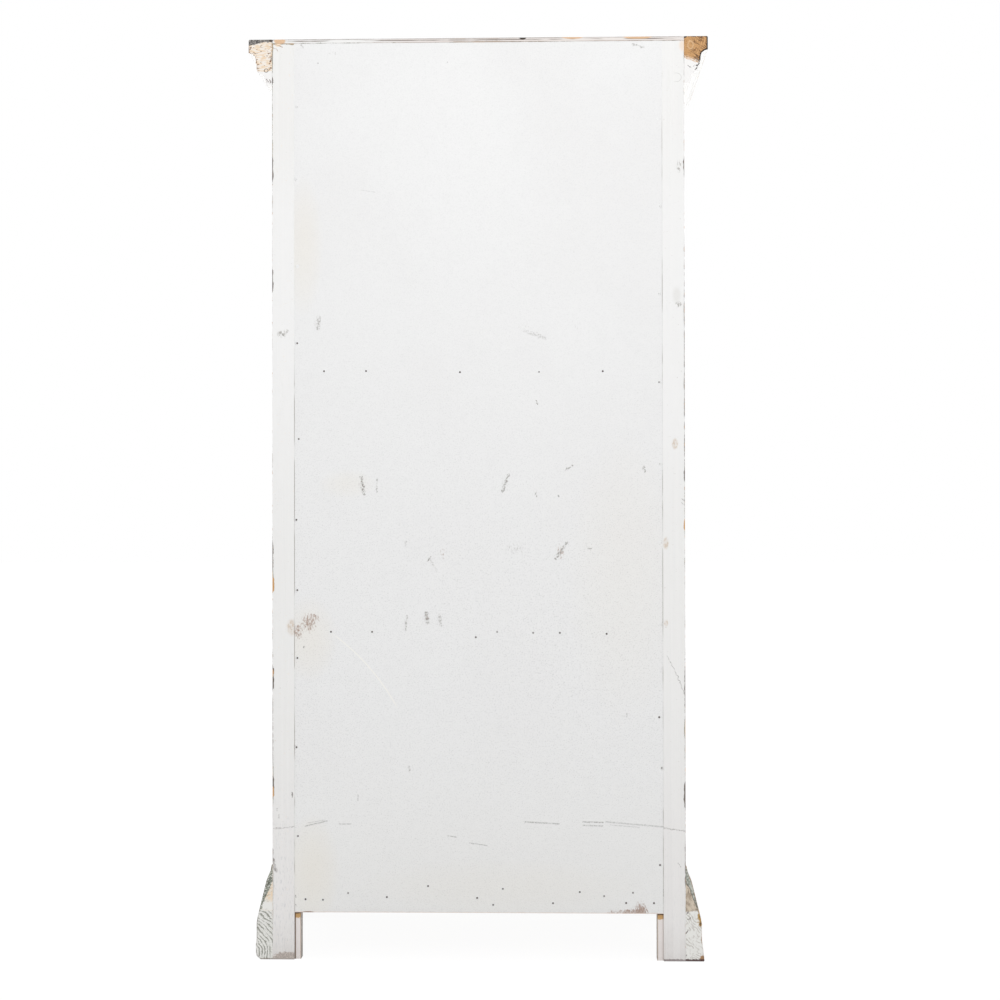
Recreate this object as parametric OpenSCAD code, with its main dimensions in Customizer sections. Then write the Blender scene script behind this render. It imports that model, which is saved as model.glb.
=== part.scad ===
// Painted pine armoire: framed carcass, nailed back, moulded cornice, flared plinth skirt
// and two panelled doors with a rim lock and surface bolts.
// Millimetres, +Z up, doors face -Y, origin on the floor under the centre of the whole box.

/* [Carcass] */
// Width over the side frames
body_w = 850; // [800:10:900]
// Depth from the door faces to the back
body_d = 480; // [440:10:540]
// Height over everything
overall_h = 1900; // [1860:10:1960]
// Face width of the four corner posts
post_w = 58; // [54:1:62]
// Depth of the corner posts
post_d = 32; // [30:1:36]
// Thickness of the rails and of the door frames
frame_t = 22; // [20:1:24]
// Height of the rails above the floor
clearance_h = 97; // [92:1:102]

/* [Back] */
// Thickness of the nailed back sheet
back_t = 6; // [4:1:8]
// Width of the rebate that holds the back sheet
rebate_w = 13; // [11:1:15]

/* [Cornice] */
// Projection of the cornice beyond the carcass
cornice_out = 49; // [47:1:52]
// Height of the cornice
cornice_h = 96; // [93:1:100]
// Thickness of the top board
top_t = 9; // [8:1:16]

/* [Plinth skirt] */
// Height of the skirt above the floor
skirt_h = 196; // [190:1:197]
// Projection of the skirt at the floor
skirt_out = 38; // [34:1:42]
// Height of the underside of the skirt between its feet
apron_z = 88; // [80:1:92]
// Length of a front foot at the floor
front_foot = 110; // [90:5:130]
// Length of a side foot at the floor
side_foot = 95; // [85:5:105]

/* [Inside] */
// Thickness of the shelves and of the bottom board
board_t = 20; // [18:1:22]
// Height of the middle of the lower shelf
lower_shelf_z = 672; // [600:2:740]
// Height of the middle of the upper shelf
upper_shelf_z = 1212; // [1130:2:1290]

/* [Doors] */
// Height of the bottom of the door opening
sill_z = 200; // [198:1:206]
// Height of the top of the door opening
head_z = 1775; // [1760:5:1780]
// Face width of the door stiles
stile_w = 72; // [70:1:80]
// Gap between the two doors
meet_gap = 3; // [2.5:0.5:4]
// Gap between a door and its post
hinge_gap = 2.5; // [2:0.5:3]
// Rise of the arch over the upper panels
arch_rise = 40; // [30:5:45]

/* [Ironwork] */
// Length of a hinge
hinge_h = 90; // [80:5:100]
// Radius of a hinge pin
pin_r = 3; // [2.5:0.5:3]
// Height of the key above the floor
key_z = 985; // [970:5:1000]
// Travel of the lock bolt
lock_throw = 12; // [12:1:12]
// Travel of the surface bolts
bolt_throw = 16; // [12:1:16]

/* [Hidden] */
$fn = 48;
PAINT = "#f2f1ee";
PINE = "#d9bb8c";
IRON = "#4a4540";
BRASS = "#a98a4b";

// Places that follow from the driving dimensions
y_back = (body_d + cornice_out) / 2;
y_face = y_back - body_d;
y_inner = y_face + frame_t;
x_out = body_w / 2;
x_in = x_out - post_w;
x_rail = x_out - frame_t;
x_lining = x_rail + 7;
post_h = overall_h - top_t;
y_panel = y_back - back_t;
board_z = sill_z + 8;
lip_z = head_z - 8;
stop_y = y_inner + 0.5;

// Joints of the woodwork
tenon_t = 8;
tenon_len = 20;
shoulder = 12;
groove_d = 9;
tongue = 8;
slack = 0.1;

// Side frames
side_top_z = head_z;
side_bottom_z = clearance_h + 113;
side_y0 = y_face + post_d;
side_y1 = y_back - post_d;

// Doors
x_meet = meet_gap / 2;
x_hang = x_in - hinge_gap;
door_z0 = sill_z + 2.5;
door_z1 = head_z - 2.5;
door_tenon = 40;
bottom_rail_h = 110;
mid_rail_z = 760;
mid_rail_h = 90;
top_rail_h = 120;
sight_x0 = x_meet + stile_w;
sight_x1 = x_hang - stile_w;
sight_w = sight_x1 - sight_x0;
sight_x = (sight_x0 + sight_x1) / 2;
spring_z = door_z1 - top_rail_h;
arch_r = (pow(sight_w / 2, 2) + pow(arch_rise, 2)) / (2 * arch_rise);
arch_z = spring_z + arch_rise - arch_r;

// Hinges
axis_x = x_in - hinge_gap / 2;
axis_y = y_face - 5.5;
knuckle_r = 5;
bore_r = pin_r + 0.05;
leaf_t = 2;
knuckle_z = 16;
hinge_z = [350, 985, 1620];

// Lock, key, knobs and bolts
fit_x = x_meet + 36;
case_w = 62;
case_d = 14;
case_z0 = key_z - 26;
case_z1 = key_z + 38;
wall = 1.5;
knob_z = key_z + 95;
bolt_y = y_inner + 8;
bolt_r = 3.5;
bolt_len = 150;
bolt_hole_r = 4.5;

// Nails of the back sheet, driven by hand and unevenly. In a row: place along X, and
// height over the row's line. Down a post: offset from the rebate's middle, and height.
top_rail_nails = [[-358, -8], [-226, 0], [-90, 1], [62, 0], [190, 0], [330, 0]];
upper_shelf_nails = [[-257, -1], [-126, -2], [37, -2], [231, 1], [318, 1]];
lower_shelf_nails = [[-264, -1], [-168, 1], [-113, 1], [-39, 3], [5, -8], [219, 3], [304, 3]];
bottom_rail_nails = [
  [-360, -8], [-317, 13], [-303, -8], [-258, 6], [-208, 14], [-153, -9], [-50, 20],
  [-30, -13], [3, 1], [104, 25], [189, 2], [269, 10], [321, -4], [357, -3]
];
right_post_nails = [
  [-1, 254], [2, 437], [0, 621], [0, 761], [2, 906],
  [-3, 1073], [0, 1271], [-1, 1430], [1, 1610], [-1, 1760]
];
left_post_nails = [
  [1, 197], [-3, 396], [2, 500], [0, 690], [0, 860],
  [0, 1020], [1, 1188], [1, 1370], [-1, 1550], [2, 1730]
];

// Every part is its own node

// ---------------------------------------------------------------- helpers

// A box from its lowest corner to its highest one
module block(low, high) {
  translate(low) cube(high - low);
}

// A cylinder along +Y
module rod_y(start, r, length) {
  translate(start) rotate([-90, 0, 0]) cylinder(h = length, r = r);
}

// Parts are drawn on the +X side and mirrored for the -X side
module on_side(side) {
  if (side < 0) mirror([1, 0, 0]) children();
  else children();
}

// Points along an arc
function arc(centre, r, from, to, steps = 12) =
  [for (i = [0:steps]) let (a = from + (to - from) * i / steps) centre + r * [cos(a), sin(a)]];

// ---------------------------------------------------------------- posts

// Mortise for a tenon of a side rail, whose height is given by its two edges
module side_mortise(z0, z1, y0, y1) {
  block(
    [x_rail + frame_t / 2 - tenon_t / 2 - slack, y0, z0 + shoulder - slack],
    [x_rail + frame_t / 2 + tenon_t / 2 + slack, y1, z1 - shoulder + slack]
  );
}

// Groove for the side panel, running on past it to take the corners of its tongue
module side_groove(y0, y1) {
  block(
    [x_rail + frame_t / 2 - tenon_t / 2, y0, side_bottom_z - groove_d],
    [x_rail + frame_t / 2 + tenon_t / 2, y1, side_top_z + groove_d]
  );
}

// Mortise for a rail that runs across the armoire
module cross_mortise(z0, z1, y0) {
  block(
    [x_in - 1, y0 - slack, z0 + shoulder - slack],
    [x_in + tenon_len + 1, y0 + tenon_t + slack, z1 - shoulder + slack]
  );
}

module rear_post(side) {
  color(PAINT) on_side(side) difference() {
    block([x_in, y_back - post_d, 0], [x_out, y_back, post_h]);
    block([x_in - 1, y_panel, -1], [x_in + rebate_w, y_back + 1, post_h + 1]);
    side_groove(side_y1 - 1, side_y1 + groove_d);
    side_mortise(side_top_z, post_h, side_y1 - 1, side_y1 + tenon_len + 1);
    side_mortise(clearance_h, side_bottom_z, side_y1 - 1, side_y1 + tenon_len + 1);
    cross_mortise(1800, post_h, y_panel - 14);
    cross_mortise(clearance_h, sill_z - 12, y_panel - 14);
  }
}

module front_post(side) {
  color(PAINT) on_side(side) difference() {
    block([x_in, y_face, 0], [x_out, y_face + post_d, post_h]);
    side_groove(side_y0 - groove_d, side_y0 + 1);
    side_mortise(side_top_z, post_h, side_y0 - tenon_len - 1, side_y0 + 1);
    side_mortise(clearance_h, side_bottom_z, side_y0 - tenon_len - 1, side_y0 + 1);
    cross_mortise(head_z, post_h, y_face + 7);
    cross_mortise(clearance_h, sill_z, y_face + 7);
    for (z = hinge_z)
      block([x_in - 1, y_face - 1, z - hinge_h / 2], [x_in + leaf_t, y_face + 24, z + hinge_h / 2]);
  }
}

// ---------------------------------------------------------------- side frames

module side_rail(side, z0, z1, groove_z) {
  color(PAINT) on_side(side) difference() {
    union() {
      block([x_rail, side_y0, z0], [x_out, side_y1, z1]);
      block(
        [x_rail + frame_t / 2 - tenon_t / 2, side_y0 - tenon_len, z0 + shoulder],
        [x_rail + frame_t / 2 + tenon_t / 2, side_y1 + tenon_len, z1 - shoulder]
      );
    }
    block(
      [x_rail + frame_t / 2 - tenon_t / 2, side_y0 - 1, groove_z],
      [x_rail + frame_t / 2 + tenon_t / 2, side_y1 + 1, groove_z + groove_d]
    );
  }
}

// Tongued all round, with a thicker field inside
module side_panel(side) {
  field = 34;
  color(PAINT) on_side(side) union() {
    block(
      [x_rail + 7.2, side_y0 - tongue, side_bottom_z - tongue],
      [x_rail + 14.8, side_y1 + tongue, side_top_z + tongue]
    );
    block(
      [x_rail + 7.2, side_y0 + field, side_bottom_z + field],
      [x_out - 3, side_y1 - field, side_top_z - field]
    );
  }
}

// ---------------------------------------------------------------- back

module back_panel() {
  color(PAINT) block(
    [-x_in - rebate_w, y_panel, clearance_h],
    [x_in + rebate_w, y_back, post_h]
  );
}

module nail(x, z) {
  head_r = 1.6;
  head_t = 0.8;
  shank_r = 0.7;
  rod_y([x, y_back - head_t, z], head_r, head_t);
  rod_y([x, y_back - 20, z], shank_r, 19.5);
}

module nails_from(origin, places) {
  for (place = places) nail(origin[0] + place[0], origin[1] + place[1]);
}

module back_nails() {
  edge_x = x_in + rebate_w / 2;
  color(IRON) {
    nails_from([0, post_h - 41], top_rail_nails);
    nails_from([0, upper_shelf_z], upper_shelf_nails);
    nails_from([0, lower_shelf_z], lower_shelf_nails);
    nails_from([0, clearance_h + 30], bottom_rail_nails);
    nails_from([edge_x, 0], right_post_nails);
    nails_from([-edge_x, 0], left_post_nails);
  }
}

// A rail between the rear posts, in front of the back sheet
module back_rail(z0, z1) {
  color(PINE) union() {
    block([-x_in, y_panel - 20, z0], [x_in, y_panel, z1]);
    block(
      [-x_in - tenon_len, y_panel - 14, z0 + shoulder],
      [x_in + tenon_len, y_panel - 14 + tenon_t, z1 - shoulder]
    );
  }
}

// ---------------------------------------------------------------- top and cornice

module top_board() {
  color(PINE) block([-x_out, y_face, post_h], [x_out, y_back, overall_h]);
}

// Section of the cornice: distance out from the carcass, height from its top.
// Fillet, cove, step, ovolo and a plain neck.
cove_r = 15;
ovolo_r = 16;
fillet_h = 28;
cornice_section = concat(
  [[0, 0], [cornice_out - 1.5, 0], [cornice_out, -1.5], [cornice_out, -fillet_h]],
  arc([cornice_out, -fillet_h - cove_r], cove_r, 90, 180),
  [[cornice_out - cove_r, -50], [cornice_out - cove_r - 1.5, -51.5]],
  arc([cornice_out - cove_r - 1.5 - ovolo_r, -59], ovolo_r, 0, -90),
  [[16.5, -79], [14, -81], [14, 3 - cornice_h], [11, -cornice_h], [0, -cornice_h]]
);

// Section of the skirt: distance out from the carcass, height from the floor.
// Flared toe, near upright foot, then a swelled taper to a thin top edge.
skirt_section = concat(
  [[0, 0], [skirt_out - 2, 0]],
  arc([skirt_out - 2, 2], 2, -90, 0, 4),
  [[skirt_out - 2, 22], [skirt_out - 5, 44], [skirt_out - 5, 76], [skirt_out - 7, 88]],
  [[skirt_out - 11, 105], [12, skirt_h - 31], [4, skirt_h - 13], [2, skirt_h - 2], [0, skirt_h]]
);

// Plan of the front and of a side run, mitred where they meet
module front_plan(out) {
  polygon([[-x_out, y_face], [x_out, y_face], [x_out + out, y_face - out], [-x_out - out, y_face - out]]);
}

module side_plan(out) {
  polygon([[x_out, y_face], [x_out + out, y_face - out], [x_out + out, y_back], [x_out, y_back]]);
}

// A section run along X in front of the carcass
module front_run(section, out, z, h) {
  intersection() {
    translate([-x_out - out, y_face, z]) rotate([90, 0, 90])
      linear_extrude(body_w + 2 * out) polygon([for (p = section) [-p[0], p[1]]]);
    translate([0, 0, z - h]) linear_extrude(2 * h) front_plan(out);
  }
}

// A section run along Y beside the carcass
module side_run(section, out, z, h) {
  intersection() {
    translate([x_out, y_back, z]) rotate([90, 0, 0])
      linear_extrude(body_d + out) polygon(section);
    translate([0, 0, z - h]) linear_extrude(2 * h) side_plan(out);
  }
}

module cornice_front() {
  color(PAINT) front_run(cornice_section, cornice_out, overall_h, cornice_h);
}

module cornice_side(side) {
  color(PAINT) on_side(side) side_run(cornice_section, cornice_out, overall_h, cornice_h);
}

// ---------------------------------------------------------------- plinth skirt

// Opening under a skirt between its feet, as an outline along the run and up:
// it rises in an ogee from each foot and drops to a shallow point in the middle.
function foot_curve(from, to, z0, z1, steps = 10) =
  [for (i = [0:steps]) [from + (to - from) * i / steps, z0 + (z1 - z0) * (1 - cos(180 * i / steps)) / 2]];

function arch_outline(from, to, ogee, drop) =
  let (middle = (from + to) / 2, half = (to - from) / 2 - ogee)
  concat(
    [[from, -1]],
    foot_curve(from, from + ogee, 8, apron_z),
    foot_curve(middle - half * 0.6, middle, apron_z, apron_z - drop, 6),
    foot_curve(middle, middle + half * 0.6, apron_z - drop, apron_z, 6),
    foot_curve(to - ogee, to, apron_z, 8),
    [[to, -1]]
  );

module skirt_front() {
  half = x_out - front_foot;
  color(PAINT) difference() {
    front_run(skirt_section, skirt_out, 0, skirt_h);
    translate([0, y_face + 1, 0]) rotate([90, 0, 0])
      linear_extrude(skirt_out + 2) polygon(arch_outline(-half, half, 80, 14));
  }
}

module skirt_side(side) {
  color(PAINT) on_side(side) difference() {
    side_run(skirt_section, skirt_out, 0, skirt_h);
    translate([x_out - 1, 0, 0]) rotate([90, 0, 90])
      linear_extrude(skirt_out + 2)
        polygon(arch_outline(y_face + side_foot, y_back - side_foot, 60, 8));
  }
}

// Glue blocks behind the feet, beside the posts
module corner_blocks() {
  foot = 14;
  top = clearance_h - 2;
  color(PINE) for (side = [-1, 1]) on_side(side) {
    block([x_in - 34, y_face, foot], [x_in, y_face + 28, top]);
    block([x_out - 28, side_y0, foot], [x_out, side_y0 + 38, top]);
    block([x_out - 28, side_y1 - 38, foot], [x_out, side_y1, top]);
  }
}

// ---------------------------------------------------------------- front rails

// The head rail has a lip behind the doors as their stop, bored for the top bolt
module head_rail() {
  color(PAINT) difference() {
    union() {
      block([-x_in, y_face, lip_z], [x_in, y_face + 40, post_h]);
      block(
        [-x_in - tenon_len, y_face + 7, head_z + shoulder],
        [x_in + tenon_len, y_face + 7 + tenon_t, post_h - shoulder]
      );
    }
    block([-x_in - 1, y_face - 1, lip_z - 1], [x_in + 1, stop_y, head_z]);
    translate([-fit_x, bolt_y, lip_z - 1]) cylinder(h = 23, r = bolt_hole_r);
    keeper_plate(lip_z);
  }
}

module sill_rail() {
  color(PAINT) union() {
    block([-x_in, y_face, clearance_h], [x_in, y_inner, sill_z]);
    block(
      [-x_in - tenon_len, y_face + 7, clearance_h + shoulder],
      [x_in + tenon_len, y_face + 7 + tenon_t, sill_z - shoulder]
    );
  }
}

// Outline of a keeper plate, let in flush from z upwards
module keeper_plate(z) {
  block([-fit_x - 18, bolt_y - 6.5, z], [-fit_x + 18, bolt_y + 8.5, z + 1.5]);
}

module bolt_keepers() {
  color(IRON) for (z = [lip_z, board_z - 1.5]) difference() {
    keeper_plate(z);
    translate([-fit_x, bolt_y, z - 1]) cylinder(h = 4, r = bolt_hole_r);
  }
}

// ---------------------------------------------------------------- boards inside

// A board that reaches half_w to each side and is notched round the rear posts
module notched_board(half_w, y0, z0) {
  difference() {
    block([-half_w, y0, z0], [half_w, y_panel, z0 + board_t]);
    for (side = [-1, 1]) on_side(side)
      block([x_in, side_y1, z0 - 1], [half_w + 1, y_panel + 1, z0 + board_t + 1]);
  }
}

module bottom_board() {
  color(PINE) difference() {
    notched_board(x_rail, stop_y, board_z - board_t);
    for (side = [-1, 1]) on_side(side)
      block([x_in, stop_y - 1, board_z - board_t - 1], [x_rail + 1, side_y0, board_z + 1]);
    translate([-fit_x, bolt_y, board_z - board_t - 1]) cylinder(h = board_t + 2, r = bolt_hole_r);
    keeper_plate(board_z - 1.5);
  }
}

module shelf(z) {
  color(PINE) notched_board(x_lining, y_face + 56, z - board_t / 2);
}

// Bearers under the shelves and the bottom board, between the posts
module shelf_cleats() {
  cleat_h = 25;
  cleat_w = 18;
  color(PINE) {
    for (side = [-1, 1], z = [board_z - board_t, lower_shelf_z - board_t / 2, upper_shelf_z - board_t / 2])
      on_side(side)
        block([x_rail - cleat_w, side_y0, z - cleat_h], [x_rail, side_y1, z]);
    block(
      [-x_in + 4, y_inner, board_z - board_t - cleat_h],
      [x_in - 4, y_inner + cleat_w, board_z - board_t]
    );
  }
}

// Draw pegs through the tenons of the front rails, cut flush with the posts
module frame_pegs() {
  peg_r = 3.5;
  color(PINE) for (side = [-1, 1], z = [clearance_h + 34, sill_z - 34, head_z + 34, post_h - 34])
    rod_y([side * (x_in + 10), y_face, z], peg_r, frame_t - 2);
}

// ---------------------------------------------------------------- hinges

// Knuckles between two heights above the hinge's middle, with the web that joins them to a leaf
module knuckle(z0, z1, web_x0) {
  translate([axis_x, axis_y, z0]) cylinder(h = z1 - z0, r = knuckle_r);
  block([web_x0, axis_y, z0], [web_x0 + leaf_t, y_face + 1, z1]);
}

module pin_bore(z) {
  translate([axis_x, axis_y, z - hinge_h / 2 - 1]) cylinder(h = hinge_h + 2, r = bore_r);
}

module frame_leaf(z) {
  difference() {
    union() {
      block([x_in, y_face, z - hinge_h / 2], [x_in + leaf_t, y_face + 24, z + hinge_h / 2]);
      knuckle(z - hinge_h / 2, z - knuckle_z, x_in);
      knuckle(z + knuckle_z, z + hinge_h / 2, x_in);
    }
    pin_bore(z);
  }
}

module door_leaf(z) {
  difference() {
    union() {
      block([x_hang - leaf_t, y_face, z - hinge_h / 2], [x_hang, y_face + 20, z + hinge_h / 2]);
      knuckle(z - knuckle_z + 0.2, z + knuckle_z - 0.2, x_hang - leaf_t);
    }
    pin_bore(z);
  }
}

module hinge_frame_leaves() {
  color(IRON) for (side = [-1, 1], z = hinge_z) on_side(side) frame_leaf(z);
}

module hinge_pins() {
  head_r = 4.6;
  color(IRON) for (side = [-1, 1], z = hinge_z) on_side(side) union() {
    translate([axis_x, axis_y, z - hinge_h / 2 - 3]) cylinder(h = hinge_h + 6, r = pin_r);
    for (end = [-1, 1])
      translate([axis_x, axis_y, z + end * (hinge_h / 2 + head_r + 0.2)]) sphere(r = head_r);
  }
}

module door_hinge_leaves(side) {
  color(IRON) for (z = hinge_z) on_side(side) door_leaf(z);
}

// ---------------------------------------------------------------- door frames

// Space inside the door frame, widened all round by grow: rectangle under an arch
module arched_space(y0, y1, z0, grow) {
  block([sight_x0 - grow, y0, z0 - grow], [sight_x1 + grow, y1, spring_z]);
  intersection() {
    block([sight_x0 - grow, y0, spring_z - 30], [sight_x1 + grow, y1, door_z1]);
    rod_y([sight_x, y0 - 1, arch_z], arch_r + grow, y1 - y0 + 2);
  }
}

module flat_space(y0, y1, z0, z1, grow) {
  block([sight_x0 - grow, y0, z0 - grow], [sight_x1 + grow, y1, z1 + grow]);
}

// Thickness layer that holds the tenons and grooves of a door
groove_y0 = y_face + 7;
groove_y1 = groove_y0 + tenon_t;

module door_grooves() {
  flat_space(groove_y0, groove_y1, door_z0 + bottom_rail_h, mid_rail_z, groove_d);
  arched_space(groove_y0, groove_y1, mid_rail_z + mid_rail_h, groove_d);
}

// Tenons of the three rails, widened by slack to cut their mortises
module rail_tenon(z0, z1, grow) {
  block(
    [sight_x0 - door_tenon - grow, groove_y0 - grow, z0 + shoulder - grow],
    [sight_x1 + door_tenon + grow, groove_y1 + grow, z1 - shoulder + grow]
  );
}

module rail_tenons(grow) {
  rail_tenon(door_z0, door_z0 + bottom_rail_h, grow);
  rail_tenon(mid_rail_z, mid_rail_z + mid_rail_h, grow);
  rail_tenon(spring_z, door_z1, grow);
}

module hinge_stile(side) {
  color(PAINT) on_side(side) difference() {
    block([sight_x1, y_face, door_z0], [x_hang, y_inner, door_z1]);
    door_grooves();
    rail_tenons(slack);
    for (z = hinge_z)
      block([x_hang - leaf_t, y_face - 1, z - hinge_h / 2], [x_hang + 1, y_face + 20, z + hinge_h / 2]);
  }
}

// Shank hole and bit slot, cut through the escutcheon and the stile
module keyhole(y0, y1) {
  rod_y([fit_x, y0, key_z], 3.6, y1 - y0);
  block([fit_x - 2, y0, key_z - 10.5], [fit_x + 2, y1, key_z]);
}

module meeting_stile(side, locked) {
  color(PAINT) on_side(side) difference() {
    block([x_meet, y_face, door_z0], [sight_x0, y_inner, door_z1]);
    door_grooves();
    rail_tenons(slack);
    if (locked) keyhole(y_face - 1, y_inner + 1);
  }
}

module door_rail(side, z0, z1) {
  color(PAINT) on_side(side) difference() {
    union() {
      block([sight_x0, y_face, z0], [sight_x1, y_inner, z1]);
      rail_tenon(z0, z1, 0);
    }
    door_grooves();
    arched_space(y_face - 1, y_inner + 1, mid_rail_z + mid_rail_h, 0);
  }
}

// Door panels: a tongue in the grooves and a raised field
field_inset = 34;

module upper_panel(side) {
  z0 = mid_rail_z + mid_rail_h;
  color(PAINT) on_side(side) union() {
    arched_space(groove_y0 + 0.2, groove_y1 - 0.2, z0, tongue);
    arched_space(y_face + 3, groove_y1 - 0.2, z0, -field_inset);
  }
}

module lower_panel(side) {
  z0 = door_z0 + bottom_rail_h;
  color(PAINT) on_side(side) union() {
    flat_space(groove_y0 + 0.2, groove_y1 - 0.2, z0, mid_rail_z, tongue);
    flat_space(y_face + 3, groove_y1 - 0.2, z0, mid_rail_z, -field_inset);
  }
}

// Half-round bead beside the meeting edge
module astragal() {
  bead_r = 7;
  color(PAINT) difference() {
    translate([x_meet + bead_r, y_face, door_z0 + 1]) cylinder(h = door_z1 - door_z0 - 2, r = bead_r);
    block([0, y_face, door_z0], [x_meet + 2 * bead_r + 1, y_face + bead_r + 1, door_z1]);
  }
}

// ---------------------------------------------------------------- door furniture

// Turned knob on an axis along -Y
module knob(side) {
  profile = concat(
    [[0, 0], [9, 0], [9, 2.5], [6, 5], [5.5, 10]],
    arc([7, 20], 8, -60, 60),
    [[7, 28], [0, 29]]
  );
  color(BRASS) on_side(side) translate([fit_x, y_face, knob_z]) rotate([90, 0, 0])
    rotate_extrude() polygon(profile);
}

// Long oval plate with a small disc at each end
module escutcheon_plate() {
  plate_t = 2;
  intersection() {
    rod_y([fit_x - 22, y_face - plate_t, key_z - 3], 37, plate_t);
    rod_y([fit_x + 22, y_face - plate_t, key_z - 3], 37, plate_t);
  }
  for (end = [-1, 1]) rod_y([fit_x, y_face - plate_t, key_z - 3 + end * 30], 6, plate_t);
}

module escutcheon(side) {
  color(BRASS) on_side(side) difference() {
    escutcheon_plate();
    keyhole(y_face - 3, y_face + 1);
  }
}

// Rim lock case: a tray that covers the bolt and the key's bit
module lock_case() {
  color(IRON) difference() {
    block([x_meet + 1, y_inner, case_z0], [x_meet + 1 + case_w, y_inner + case_d, case_z1]);
    block(
      [x_meet + 1 + wall, y_inner - 1, case_z0 + wall],
      [x_meet + 1 + case_w - wall, y_inner + case_d - wall, case_z1 - wall]
    );
    block([x_meet, y_inner - 1, key_z + 4.5], [x_meet + 3, y_inner + 6.5, key_z + 15.5]);
  }
}

// The bit turns up into the notch and drives the bolt
module lock_bolt() {
  color(IRON) difference() {
    block([x_meet + 1.5, y_inner + 0.5, key_z + 5], [x_meet + 59.5, y_inner + 6, key_z + 15]);
    block([fit_x + 9.5, y_inner, key_z + 4], [fit_x + 18.5, y_inner + 7, key_z + 10]);
  }
}

module key() {
  bow_y = y_face - 28;
  color(IRON) union() {
    rod_y([fit_x, bow_y + 8, key_z], 3, y_inner + 9 - bow_y - 8);
    rod_y([fit_x, y_face - 8, key_z], 4.6, 4);
    difference() {
      translate([fit_x - 2, bow_y, key_z]) rotate([0, 90, 0]) cylinder(h = 4, r = 13);
      translate([fit_x - 3, bow_y, key_z]) rotate([0, 90, 0]) cylinder(h = 6, r = 8.5);
    }
    block([fit_x - 1.4, y_inner + 1.5, key_z - 9], [fit_x + 1.4, y_inner + 5.5, key_z]);
  }
}

// Box keeper that the lock bolt enters
module lock_keeper() {
  color(IRON) on_side(-1) difference() {
    block([x_meet + 1, y_inner, key_z - 6], [x_meet + 25, y_inner + 10, key_z + 26]);
    block([x_meet, y_inner - 1, key_z + 3.5], [x_meet + 13, y_inner + 8, key_z + 16.5]);
  }
}

// A surface bolt's plate and its two guides; z is the end of the rod, dir points to it
module bolt_plate(z, dir) {
  low = min(z - dir * 12, z - dir * 128);
  high = max(z - dir * 12, z - dir * 128);
  difference() {
    union() {
      block([-fit_x - 13, y_inner, low], [-fit_x + 13, y_inner + 2, high]);
      for (guide = [low + 6, high - 16])
        block([-fit_x - 8, y_inner + 1, guide], [-fit_x + 8, bolt_y + 5, guide + 10]);
    }
    translate([-fit_x, bolt_y, low - 1]) cylinder(h = high - low + 2, r = bolt_r + 0.1);
  }
}

module bolt_plates() {
  color(IRON) {
    bolt_plate(lip_z - 3, 1);
    bolt_plate(board_z + 3, -1);
  }
}

module surface_bolt(z, dir) {
  color(IRON) union() {
    translate([-fit_x, bolt_y, min(z, z - dir * bolt_len)]) cylinder(h = bolt_len, r = bolt_r);
    rod_y([-fit_x, bolt_y, z - dir * 70], 3, 11);
    translate([-fit_x, bolt_y + 12, z - dir * 70]) sphere(r = 5);
  }
}

// ---------------------------------------------------------------- nodes

rear_post(-1);  // rear_post_left
rear_post(1);  // rear_post_right
front_post(-1);  // front_post_left
front_post(1);  // front_post_right
side_rail(-1, side_top_z, post_h, side_top_z);  // side_rail_top_left
side_rail(1, side_top_z, post_h, side_top_z);  // side_rail_top_right
side_rail(-1, clearance_h, side_bottom_z, side_bottom_z - groove_d);  // side_rail_bottom_left
side_rail(1, clearance_h, side_bottom_z, side_bottom_z - groove_d);  // side_rail_bottom_right
side_panel(-1);  // side_panel_left
side_panel(1);  // side_panel_right
back_panel();
back_nails();
back_rail(1800, post_h);  // back_rail_top
back_rail(clearance_h, sill_z - 12);  // back_rail_bottom
top_board();
cornice_front();
cornice_side(-1);  // cornice_left
cornice_side(1);  // cornice_right
head_rail();
sill_rail();
skirt_front();
skirt_side(-1);  // skirt_left
skirt_side(1);  // skirt_right
corner_blocks();
bottom_board();
shelf(lower_shelf_z);  // shelf_lower
shelf(upper_shelf_z);  // shelf_upper
shelf_cleats();
frame_pegs();
hinge_frame_leaves();
hinge_pins();
bolt_keepers();
hinge_stile(-1);  // left_door_hinge_stile
meeting_stile(-1, false);  // left_door_meeting_stile
door_rail(-1, spring_z, door_z1);  // left_door_top_rail
door_rail(-1, mid_rail_z, mid_rail_z + mid_rail_h);  // left_door_middle_rail
door_rail(-1, door_z0, door_z0 + bottom_rail_h);  // left_door_bottom_rail
upper_panel(-1);  // left_door_upper_panel
lower_panel(-1);  // left_door_lower_panel
door_hinge_leaves(-1);  // left_door_hinge_leaves
knob(-1);  // left_door_knob
escutcheon(-1);  // left_door_escutcheon
lock_keeper();  // left_door_lock_keeper
bolt_plates();  // left_door_bolt_plates
surface_bolt(lip_z - 3, 1);  // top_bolt
surface_bolt(board_z + 3, -1);  // bottom_bolt
hinge_stile(1);  // right_door_hinge_stile
meeting_stile(1, true);  // right_door_meeting_stile
door_rail(1, spring_z, door_z1);  // right_door_top_rail
door_rail(1, mid_rail_z, mid_rail_z + mid_rail_h);  // right_door_middle_rail
door_rail(1, door_z0, door_z0 + bottom_rail_h);  // right_door_bottom_rail
upper_panel(1);  // right_door_upper_panel
lower_panel(1);  // right_door_lower_panel
door_hinge_leaves(1);  // right_door_hinge_leaves
knob(1);  // right_door_knob
escutcheon(1);  // right_door_escutcheon
astragal();  // right_door_astragal
lock_case();
lock_bolt();
key();
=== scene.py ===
"""The looks of the painted pine armoire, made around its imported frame.

Metres, +Z up, doors face -Y. The camera looks at the nailed back, square on.
"""

import math
import random

import bmesh
import bpy
from mathutils import Matrix, Vector


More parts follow.
